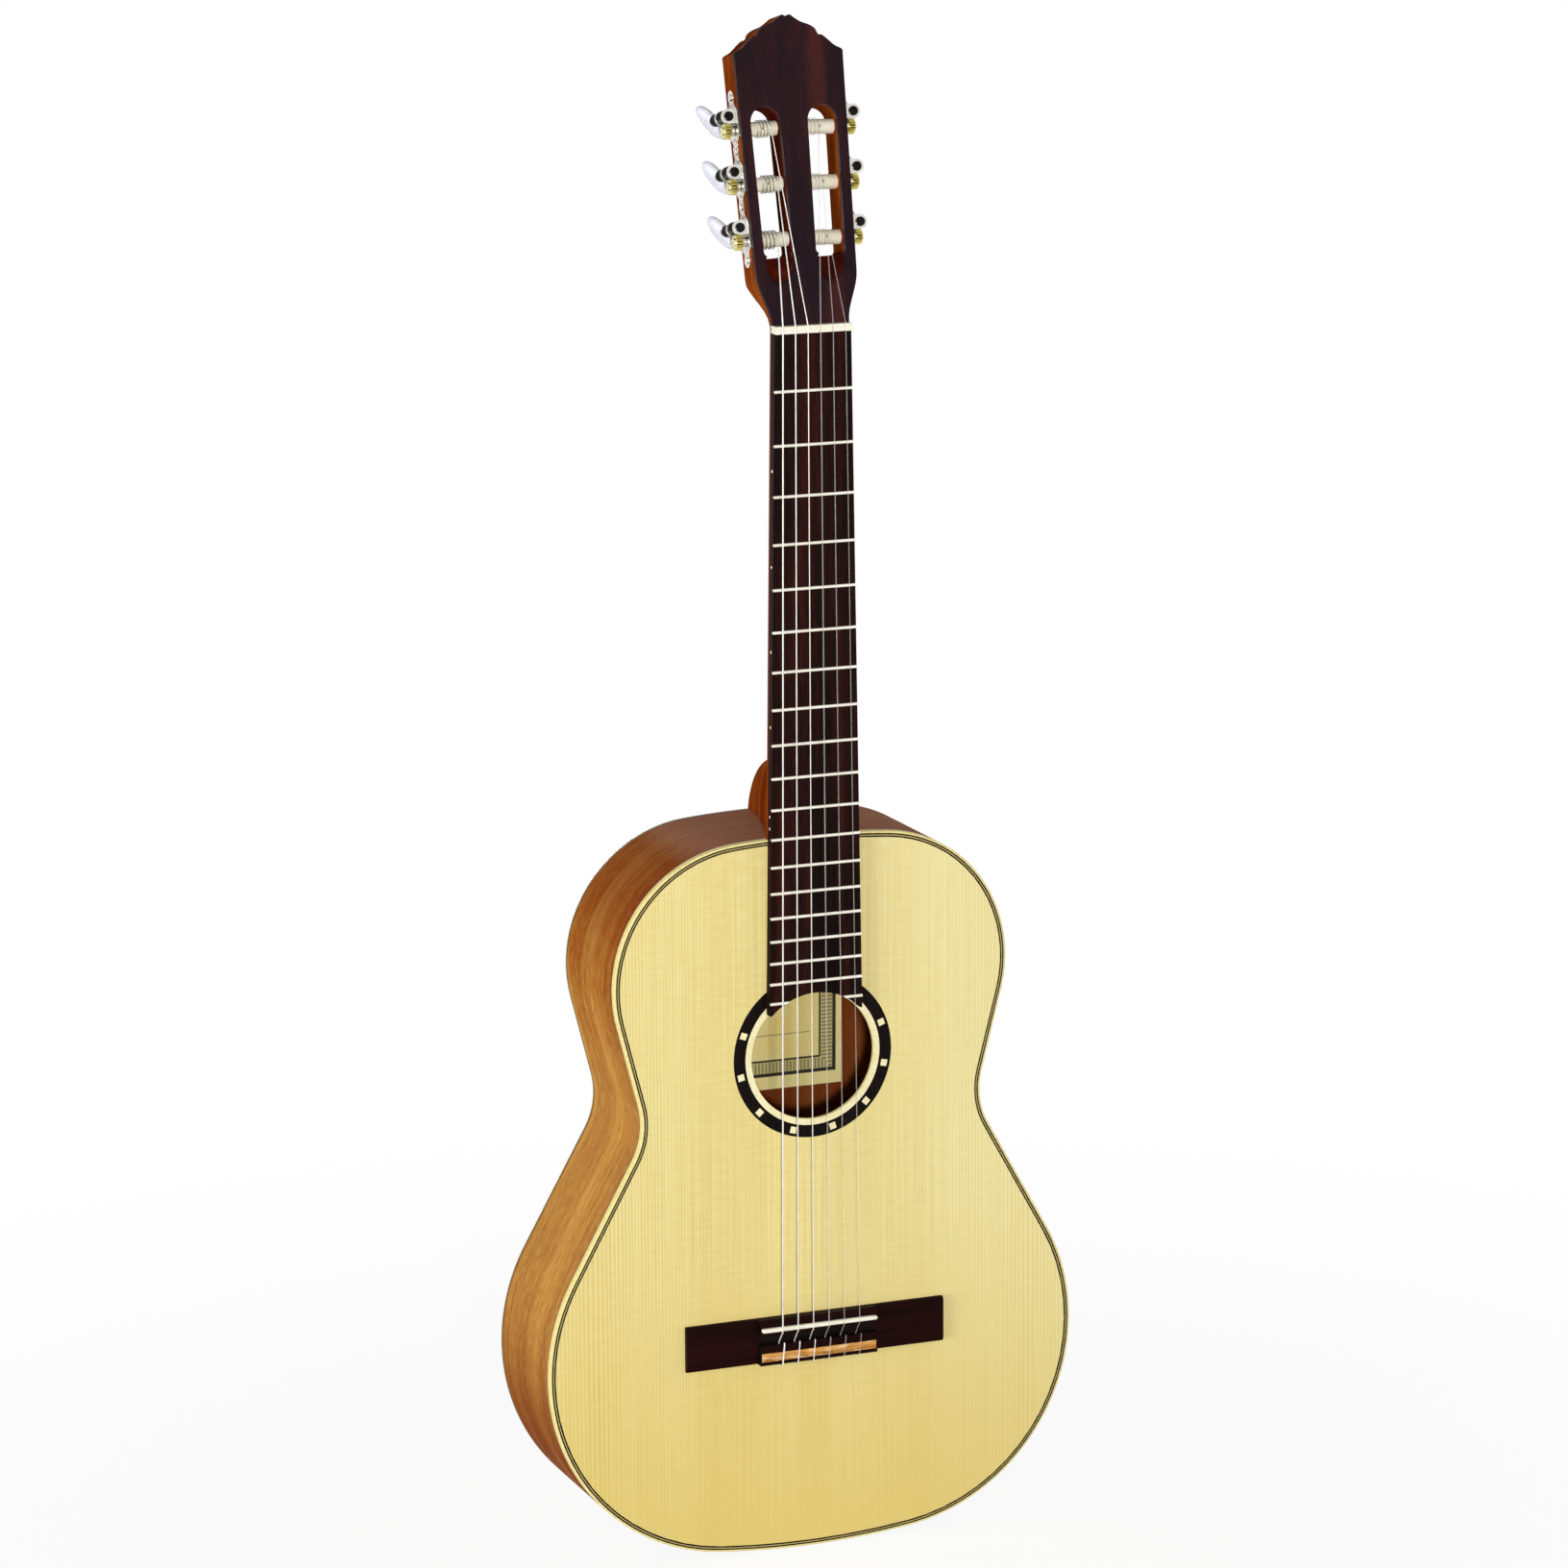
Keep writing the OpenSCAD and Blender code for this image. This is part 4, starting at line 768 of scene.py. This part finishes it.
def neck_piece():
    """Shaft of half an ellipse that runs into the heel, lofted from the head to the body."""
    columns_half, closing = 40, 4

    def shaft_half(y, s, depth):
        share = min(1.0, max(0.0, y / depth))
        return board_half(max(s, 0.0)) * math.sqrt(1 - share * share)

    def half_at(y, s, depth):
        a = JOIN - s
        shaft = shaft_half(y, s, depth) if y <= depth else -(y - depth) * 3
        if a > HEEL_START:
            return max(shaft, 0.0)
        q = 1 - ((a + 8) / (heel_length(y) + 8)) ** 3.125
        heel = heel_half(y) * math.copysign(abs(q) ** 0.32, q)
        return max(0.0, soft_max(shaft, heel, HEEL_BLEND))

    def lowest(s, depth):
        """Depth at which the heel ends, found by halving."""
        if half_at(HEEL_TIP, s, depth) > 0:
            return HEEL_TIP
        lower, upper = depth, HEEL_TIP
        for _ in range(40):
            middle = (lower + upper) / 2
            if half_at(middle, s, depth) > 0:
                lower = middle
            else:
                upper = middle
        return max(depth, lower)

    rows = []
    for s in neck_stations():
        depth = neck_depth(s)
        bend = (BEND_START - s) / (BEND_START - BEND_END)
        tilt = math.radians(HEAD_TILT * min(1.0, max(0.0, bend)))
        a = JOIN - s
        low = lowest(s, depth) if a < HEEL_START else depth
        ring = []
        for j in range(columns_half + 1):
            y = low * math.sin(math.pi / 2 * min(1.0, j / (columns_half - closing)))
            x = half_at(y, s, depth)
            if j > columns_half - closing:
                x *= (columns_half - j) / closing
            ring.append((x, y))
        ring[-1] = (0.0, low)
        ring = [(-x, y) for x, y in ring] + [(x, y) for x, y in ring[-2::-1]]
        ring.append(ring[0])
        dip = max(0.0, 1 - a / BODY_CONTACT)
        row = []
        for x, y in ring:
            z = NUT_Z - s - y * math.sin(tilt)
            z += dip * (math.sqrt(SHOULDER_R ** 2 - x * x) - SHOULDER_R)
            row.append((x, y * math.cos(tilt), z))
        rows.append(row)
    return grid_piece("neck_carved", len(rows) - 1, len(rows[0]) - 1, lambda r, c: rows[r][c],
                      angle=40)


dress(neck_piece(), "guitar", "mahogany", "neck_wood", instead=("neck",))

# Pieces that keep their solid, with rounded edges
kept = {}
for node, bevel, slot, look in (
    ("head", 0.7, "mahogany", "neck_wood"),
    ("headplate", 0.5, "rosewood", "facing"),
    ("fretboard", 0.3, "rosewood", "rosewood"),
    ("frets", 0.15, "fret_wire", "fret"),
    ("nut", 0.35, "bone", "bone"),
    ("bridge", 0.5, "rosewood", "bridge_wood"),
    ("plate_screws", 0.25, "nickel", "nickel"),
    ("tuner_plate_bass", 0.25, "nickel", "nickel"),
    ("tuner_plate_treble", 0.25, "nickel", "nickel"),
):
    kept[node] = dress(refined(node, bevel), "guitar", slot, look, instead=(node,))

SADDLE_TOP = -12.0
SADDLE_FOOT = -3.5
SADDLE_HALF = 40.5
SADDLE_R = 1.4


def saddle_piece():
    """Crowned bone strip with rounded ends, in its slot in the bridge."""
    straight = SADDLE_HALF - SADDLE_R
    ends = [SADDLE_HALF - SADDLE_R * (1 - math.sin(math.pi / 2 * i / 8)) for i in range(9)]
    places = [-x for x in reversed(ends)]
    places += [-straight + 2 * straight * i / 8 for i in range(1, 8)] + ends
    rows = []
    for x in places:
        over = max(0.0, (abs(x) - straight) / SADDLE_R)
        share = max(0.12, math.sqrt(max(0.0, 1 - over * over)))
        w, low = SADDLE_R * share, SADDLE_TOP + SADDLE_R * (1.5 - share / 2)
        turns = [math.pi * j / 16 for j in range(17)]
        ring = [(low - SADDLE_R * math.sin(t), w * math.cos(t)) for t in turns]
        ring = [(SADDLE_FOOT, w)] + ring + [(SADDLE_FOOT, -w), (SADDLE_FOOT, w)]
        rows.append([(x, y, SADDLE_Z + z) for y, z in ring])
    return grid_piece("saddle_crowned", len(rows) - 1, len(rows[0]) - 1, lambda r, c: rows[r][c],
                      angle=40)


dress(saddle_piece(), "guitar", "bone", "bone", instead=("saddle",))

# Painted shade in the channel between the saddle and the tie block: its faces take the dark strip finish
CHANNEL_HALF = 42.0
CHANNEL_FACE = -7.5
CHANNEL_LOW, CHANNEL_HIGH = SADDLE_Z - 11.0, SADDLE_Z - 1.0
kept["bridge"].data.materials.append(finishes["dark"])
for face in kept["bridge"].data.polygons:
    x, y, z = face.center / MM
    if abs(x) < CHANNEL_HALF and y > CHANNEL_FACE and CHANNEL_LOW < z < CHANNEL_HIGH:
        face.material_index = 1


# Position dots in the bass edge of the fretboard

DOT_R = 1.0
DOT_DEPTH = -3.4


def fret_z(number):
    return NUT_Z - SCALE * (1 - 2 ** (-number / 12))


for space, along in ((3, 0.5), (5, 0.5), (7, 0.5), (9, 0.5), (12, 0.24), (12, 0.64)):
    z = fret_z(space - 1) + (fret_z(space) - fret_z(space - 1)) * along
    profile = [(DOT_R, -0.8), (DOT_R, 0.0), (0.85 * DOT_R, 0.06)]
    dot = turned("side_dot_%d_%d" % (space, 10 * along), profile, sides=20)
    edge = -board_half(NUT_Z - z)
    carry(dot, lambda x, y, h: (edge - h, DOT_DEPTH + x, z + y))
    dress(dot, "guitar", "cream_strip", "pale")

# Solids that only take a finish
for node, look in (
    ("soundboard", "spruce"), ("back", "back_wood"), ("label", "label"),
    ("rosette_ring", "dark"), ("rosette_inner_ring", "pale"), ("rosette_blocks", "pale"),
    ("tie_block_inlay", "inlay"), ("linings", "inner_wood"), ("neck_block", "inner_wood"),
    ("tail_block", "inner_wood"), ("fan_braces", "inner_wood"), ("harmonic_bars", "inner_wood"),
    ("back_braces", "inner_wood"),
):
    nodes[node].data.materials.clear()
    nodes[node].data.materials.append(finishes[look])


# Head frames: along the leaning face, and outwards from each straight side

TILT = math.radians(HEAD_TILT)
HEAD_LOW_HALF, HEAD_LOW_RISE = 34.0, 32.0
HEAD_TOP_HALF, HEAD_TOP_RISE = 36.8, 169.0
TAPER = math.atan((HEAD_TOP_HALF - HEAD_LOW_HALF) / (HEAD_TOP_RISE - HEAD_LOW_RISE))
SIDE_X = HEAD_LOW_HALF - HEAD_LOW_RISE * math.tan(TAPER)
HEAD_T = 18.0
CHEEK_T, SLOT_WIDTH = 6.5, 20.2
ROLLER_DEPTH = 7.5
FIRST_ROLLER = 54.0
ROLLER_STEP = 35.0
GEAR_MODULE, GEAR_TEETH = 0.68, 14
WORM_R, MESH_GAP = 3.9, 0.05
WORM_RISE = GEAR_MODULE * GEAR_TEETH / 2 + WORM_R + MESH_GAP
GEAR_OFFSET = 6.2
LUG_SPAN, LUG_T, END_GAP, COLLAR = 9.2, 1.8, 0.3, 11.0
BUTTON_START = ROLLER_DEPTH + LUG_SPAN / 2 + LUG_T + END_GAP + COLLAR


def head_point(x, d, a):
    """A place across the head, behind its facing and above the nut, in the guitar's frame."""
    y = d * math.cos(TILT) + a * math.sin(TILT)
    return Vector((x, y, NUT_TOP + a * math.cos(TILT) - d * math.sin(TILT)))


def side_point(side, x, d, a):
    """A place outwards from a straight side, behind the facing and along the side."""
    out = SIDE_X + x * math.cos(TAPER) + a * math.sin(TAPER)
    return head_point(side * out, d, a * math.cos(TAPER) - x * math.sin(TAPER))


def side_of(k):
    return 1 if k <= 3 else -1


def from_side(point):
    """Distance outwards from the nearer side, depth behind the facing and rise along the side."""
    out, y, z = abs(point.x) - SIDE_X, point.y, point.z - NUT_TOP
    depth = y * math.cos(TILT) - z * math.sin(TILT)
    rise = y * math.sin(TILT) + z * math.cos(TILT)
    return (out * math.cos(TAPER) - rise * math.sin(TAPER), depth,
            out * math.sin(TAPER) + rise * math.cos(TAPER))


def roller_rise(k):
    return FIRST_ROLLER + ROLLER_STEP * (k - 1 if k <= 3 else 6 - k)


# Painted shade: darker mahogany on the string ramps at the slots' lower ends, and up the bass slot's
# walls, where shadow falls
RAMP_LOW, RAMP_TOP = 20.0, 44.5
SLOT_TOP = 150.0
MARGIN = 0.2
kept["head"].data.materials.append(finishes["ramp_painted_shade"])
for face in kept["head"].data.polygons:
    out, depth, rise = from_side(face.center / MM)
    highest = SLOT_TOP if face.center.x < 0 else RAMP_TOP
    in_slot = -CHEEK_T - SLOT_WIDTH - MARGIN < out < -CHEEK_T + MARGIN
    if in_slot and MARGIN < depth < HEAD_T - MARGIN and RAMP_LOW < rise < highest:
        face.material_index = 1

# Scrolls on the tuner plates around their inner screws
PLATE_T = 1.2
SCROLL_R = 0.3
SCROLL_MIDDLES = (75.86, 110.86)
SCROLL = (
    (7.4, 0.6), (6.6, 2.0), (5.2, 2.7), (3.8, 2.3), (3.2, 3.2), (2.0, 3.5), (0.6, 3.0), (0.0, 2.9))
for side, name in ((1, "treble"), (-1, "bass")):
    scrolls = []
    for middle in SCROLL_MIDDLES:
        for turned_to in (-1, 1):
            for end in (-1, 1):
                scrolls.append([
                    side_point(side, PLATE_T, ROLLER_DEPTH + turned_to * d, middle + end * a)
                    for a, d in SCROLL])
    scroll = tube("plate_scrolls_" + name, scrolls, SCROLL_R, sides=2)
    dress(scroll, "guitar", "nickel", "engraving")


# Tuners

ROLLER_TIP = -0.0006
ROOT_R = 4.5
HUB_R = 3.2
KNOB_LONG, KNOB_WIDE, KNOB_THICK = 13.0, 8.5, 4.5
KNOB_BITE = 0.5
KNOB_MIDDLE = BUTTON_START - KNOB_BITE + KNOB_WIDE
KNOB_TURN = math.radians(52.0)
KNOB_ROWS, KNOB_COLUMNS = 28, 40
HOLLOW, HOLLOW_SPREAD = 0.16, 22.0
COLLAR_PROFILE = (
    (3.55, 0.0), (3.9, 0.3), (3.9, 1.6), (3.45, 1.9), (3.1, 4.0),
    (3.1, 6.2), (3.5, 7.4), (3.9, 8.2), (3.9, 10.6), (3.4, 12.6))


def knob_point(row, column):
    """A place on an oval button with a shallow thumb hollow, before it is turned on its shaft."""
    t = math.pi * (row / KNOB_ROWS - 0.5)
    a = 2 * math.pi * column / KNOB_COLUMNS
    f = max(0.0, math.cos(t)) ** 0.8
    x = f * KNOB_LONG * math.copysign(abs(math.cos(a)) ** 0.9, math.cos(a))
    y = KNOB_WIDE * math.sin(t)
    z = f * KNOB_THICK * math.copysign(abs(math.sin(a)) ** 0.75, math.sin(a))
    z *= 1 - HOLLOW * math.exp(-(x * x + y * y) / HOLLOW_SPREAD)
    return x, y, z


joint_of = {joint["name"]: joint for joint in frame["joints"]}
for k in range(1, 7):
    side, rise = side_of(k), roller_rise(k)
    tuner, string_roller = "tuner_%d" % k, "string_roller_%d" % k
    roller = refined("roller_%d" % k, bevel=0.25)
    dress(roller, string_roller, "roller_plastic", "roller", "nickel", instead=("roller_%d" % k,))
    joint = joint_of["roller_turn_%d" % k]
    foot, way = Vector(joint["pos_m"]), Vector(joint["axis"])
    for face in roller.data.polygons:
        face.material_index = 1 if (face.center - foot).dot(way) > ROLLER_TIP else 0
    gear = refined("gear_%d" % k, bevel=0.12)
    dress(gear, string_roller, "gear_brass", "brass", "brass_root_shade", "nickel",
          instead=("gear_%d" % k,))
    # Painted shade: the faces between the hub and the tooth roots, apart from flat ones, take the dark
    # brass; the hub is nickel
    for face in gear.data.polygons:
        arm = face.center - foot
        radius = (arm - way * arm.dot(way)).length / MM
        flat = abs(face.normal.dot(way)) > 0.5
        face.material_index = 0 if flat or radius > ROOT_R else 1 if radius > HUB_R else 2
    worm = refined("worm_%d" % k, bevel=0.15)
    dress(worm, tuner, "black_metal", "black", instead=("worm_%d" % k,))

    def knob(row, column):
        x, y, z = knob_point(row, column)
        out = x * math.cos(KNOB_TURN) - z * math.sin(KNOB_TURN)
        up = x * math.sin(KNOB_TURN) + z * math.cos(KNOB_TURN)
        return side_point(side, GEAR_OFFSET + out, KNOB_MIDDLE + y, rise + WORM_RISE + up)

    button = grid_piece("button_%d_pearl" % k, KNOB_ROWS, KNOB_COLUMNS, knob, angle=60)
    start = BUTTON_START - COLLAR
    ferrule = turned("button_%d_collar" % k, [(r, start + h) for r, h in COLLAR_PROFILE])
    carry(ferrule, lambda x, y, z: side_point(side, GEAR_OFFSET + x, z, rise + WORM_RISE + y))
    dress(button, tuner, "pearl_plastic", "pearl", instead=("button_%d" % k,))
    dress(ferrule, tuner, "black_metal", "black", instead=("button_%d" % k,))


# Strings: loop on the tie block, saddle, nut and winding on the roller

STRING_D = [0.71, 0.82, 1.02, 0.74, 0.89, 1.09]
WRAP_START = [11, 9.5, 9, 5, 4.5, 8]
TREBLE_TURNS, BASS_TURNS = 3, 4
TURN_STEPS = 48
WIRE_SHARE = 0.9
CLEAR = 0.3
LOOP_GAP = 1.5
ROLLER_R = 4.75
NUT_SPREAD, BRIDGE_SPREAD = 42.7, 54.2
STRING_Y_NUT = -8.6
BRIDGE_AHEAD, BRIDGE_WIDTH = 6.2, 30.2
BRIDGE_LOW = SADDLE_Z + BRIDGE_AHEAD - BRIDGE_WIDTH
TIE_WIDTH, TIE_TOP, TIE_HOLE = 13.4, -9.0, -5.8
TIE_FRONT = BRIDGE_LOW + TIE_WIDTH


def string_x(k, spread):
    return (3.5 - k) * spread / 5


def smoothed(points, n):
    """A curve through all points, with n steps between each two."""
    out = []
    for i in range(len(points) - 1):
        a, b = points[max(i - 1, 0)], points[i]
        c, d = points[i + 1], points[min(i + 2, len(points) - 1)]
        square, cube = 2 * a - 5 * b + 4 * c - d, 3 * b - a - 3 * c + d
        for t in (j / n for j in range(n)):
            out.append(0.5 * (2 * b + (c - a) * t + square * t * t + cube * t ** 3))
    return out + [points[-1]]


def tie_route(k):
    """Corners of a string's loop over the tie block, through its hole and up to the saddle."""
    x, r = string_x(k, BRIDGE_SPREAD), STRING_D[k - 1] / 2
    gap, lean, corner = r + CLEAR, 2.8, 0.9
    over, hole = TIE_TOP - gap - 0.1, TIE_HOLE
    front, behind = TIE_FRONT + gap, BRIDGE_LOW - gap - CLEAR
    return [Vector(p) for p in (
        (x + 0.9 * lean, over + corner, front),
        (x + 0.8 * lean, over, TIE_FRONT - corner),
        (x + 0.6 * lean, over, BRIDGE_LOW + TIE_WIDTH / 2),
        (x + 0.4 * lean, over, BRIDGE_LOW + corner),
        (x + 0.3 * lean, over + corner, behind),
        (x + 0.2 * lean, hole - 1.5 * corner, behind - 0.3),
        (x, hole, behind + 0.2),
        (x, hole, BRIDGE_LOW + 1.5 * corner),
        (x, hole, TIE_FRONT - corner),
        (x, hole - 0.1, TIE_FRONT + corner / 2),
        (x, (hole + SADDLE_TOP) / 2 - gap, (TIE_FRONT + SADDLE_Z) / 2 + 0.4),
        (x, SADDLE_TOP - gap + corner / 2, SADDLE_Z - SADDLE_R - corner / 2),
        (x, SADDLE_TOP - gap, SADDLE_Z),
    )]


def winding(k):
    """The loops on a roller, from where the string from the nut touches it."""
    d, side, rise = STRING_D[k - 1], side_of(k), roller_rise(k)
    r = ROLLER_R + CLEAR + d / 2
    turns = TREBLE_TURNS if side > 0 else BASS_TURNS
    away = Vector((STRING_Y_NUT * math.cos(TILT) - ROLLER_DEPTH,
                   STRING_Y_NUT * math.sin(TILT) - rise))
    first = math.atan2(away.y, -away.x) + math.acos(r / away.length)
    path = []
    for i in range(turns * TURN_STEPS + 1):
        t = first + 2 * math.pi * i / TURN_STEPS
        x = WRAP_START[k - 1] - CHEEK_T - SLOT_WIDTH - side * (d + LOOP_GAP) * i / TURN_STEPS
        path.append(side_point(side, x, ROLLER_DEPTH - r * math.cos(t), rise + r * math.sin(t)))
    return path


for k in range(1, 7):
    nut_x = string_x(k, NUT_SPREAD)
    path = smoothed(tie_route(k), 5)
    path += [Vector((nut_x, STRING_Y_NUT, NUT_Z)), Vector((nut_x, STRING_Y_NUT, NUT_TOP - 0.5))]
    coil = winding(k)
    # The bass strings' coils take the darker coil finish, which is painted shade
    slot, looks = ("nylon", ("nylon", "nylon")) if k <= 3 else ("wound_wire", ("wound", "coil"))
    for part, line, look in (("wire", path + coil[:2], looks[0]), ("coil", coil[1:], looks[1])):
        string = tube("string_%d_%s" % (k, part), [line], STRING_D[k - 1] / 2 * WIRE_SHARE)
        dress(string, "guitar", slot, look, instead=("string_%d" % k,))


# Stage, light and camera

def seen_rays(tree):
    """1 for rays from the camera and for those that metal and glass send on, 0 for all others."""
    path = tree.nodes.new("ShaderNodeLightPath")
    kinds = ("Is Camera Ray", "Is Glossy Ray", "Is Transmission Ray")
    camera_ray, glossy, through = (Wire(tree, path.outputs[kind]) for kind in kinds)
    either = camera_ray.sum("MAXIMUM", camera_ray, glossy)
    return either.sum("MAXIMUM", either, through)


WHITE = (1, 1, 1, 1)
FILL = 0.2
FLOOR_GAP = 0.0005
NEAR_GLOW = 0.92


def stage_floor():
    """Pale floor that takes a faint shadow near the guitar and fades into the white beyond."""
    deselect()
    bpy.ops.mesh.primitive_plane_add(size=90, location=(0, 0, TAIL_Z * MM - FLOOR_GAP))
    floor = bpy.context.object
    floor.name = "floor"
    finish = bpy.data.materials.new("pale_floor")
    finish.use_nodes = True
    tree = finish.node_tree
    tree.nodes.clear()
    start = Wire(tree)
    seen = seen_rays(tree)
    matt = start.make("BsdfDiffuse", None, {"Color": (0.86, 0.86, 0.86, 1)})
    soft = start.make("BsdfDiffuse", None, {"Color": (0.5, 0.5, 0.5, 1)})
    glow = start.make("Emission", None, {"Color": WHITE, "Strength": 1.0})
    spot = object_spot(start)
    away = spot.make("VectorMath", {"operation": "LENGTH"}, {0: spot}, "Value")
    share = NEAR_GLOW + away.above(0.75, 0.9) * (1 - NEAR_GLOW)
    shown = start.make("MixShader", None, {0: share, 1: matt, 2: glow})
    both = start.make("MixShader", None, {0: seen, 1: soft, 2: shown})
    tree.links.new(both.socket, tree.nodes.new("ShaderNodeOutputMaterial").inputs["Surface"])
    floor.data.materials.append(finish)


def studio_world():
    """White where it is seen or mirrored, and a dimmer fill as a light."""
    world = bpy.data.worlds.new("studio")
    bpy.context.scene.world = world
    world.use_nodes = True
    tree = world.node_tree
    tree.nodes.clear()
    start = Wire(tree)
    seen = seen_rays(tree)
    fill = start.make("Background", None, {"Color": WHITE, "Strength": FILL})
    white = start.make("Background", None, {"Color": WHITE, "Strength": 1.0})
    both = start.make("MixShader", None, {0: seen, 1: fill, 2: white})
    tree.links.new(both.socket, tree.nodes.new("ShaderNodeOutputWorld").inputs["Surface"])


def area_lamp(name, spot, target, size, power):
    lamp = bpy.data.lights.new(name, "AREA")
    lamp.energy = power
    lamp.size = size
    piece = bpy.data.objects.new(name, lamp)
    bpy.context.scene.collection.objects.link(piece)
    piece.location = spot
    piece.rotation_euler = (Vector(target) - Vector(spot)).to_track_quat("-Z", "Y").to_euler()


stage_floor()
studio_world()
area_lamp("left_key", (-3.5, -1.2, -0.6), (0, 0, -0.6), size=1.4, power=108)
area_lamp("front_soft", (-1.15, -3.45, 0.17), (0, 0, -0.45), size=0.2, power=81)
area_lamp("right_fill", (3.2, -0.6, 0.2), (0, 0, -0.4), size=1.8, power=22)
area_lamp("back_fill", (0.2, 3.4, -0.4), (0, 0, -0.4), size=0.9, power=50)

# The photo's camera: its place, and its right, up and forward directions
eye = bpy.data.cameras.new("photo_eye")
eye.lens = 131.53
eye.sensor_width = 36.0
eye.clip_end = 200.0
camera = bpy.data.objects.new("photo_eye", eye)
bpy.context.scene.collection.objects.link(camera)
right = Vector((0.92774, -0.37319, -0.00567))
up = Vector((0.08360, 0.19298, 0.97763))
ahead = Vector((0.36375, 0.90746, -0.21023))
eye_place = Vector((-1.35191, -3.32532, 0.46012))
turn = Matrix((right, up, -ahead)).transposed().to_4x4()
camera.matrix_world = Matrix.Translation(eye_place) @ turn
bpy.context.scene.camera = camera
bpy.context.scene.view_settings.view_transform = "Standard"
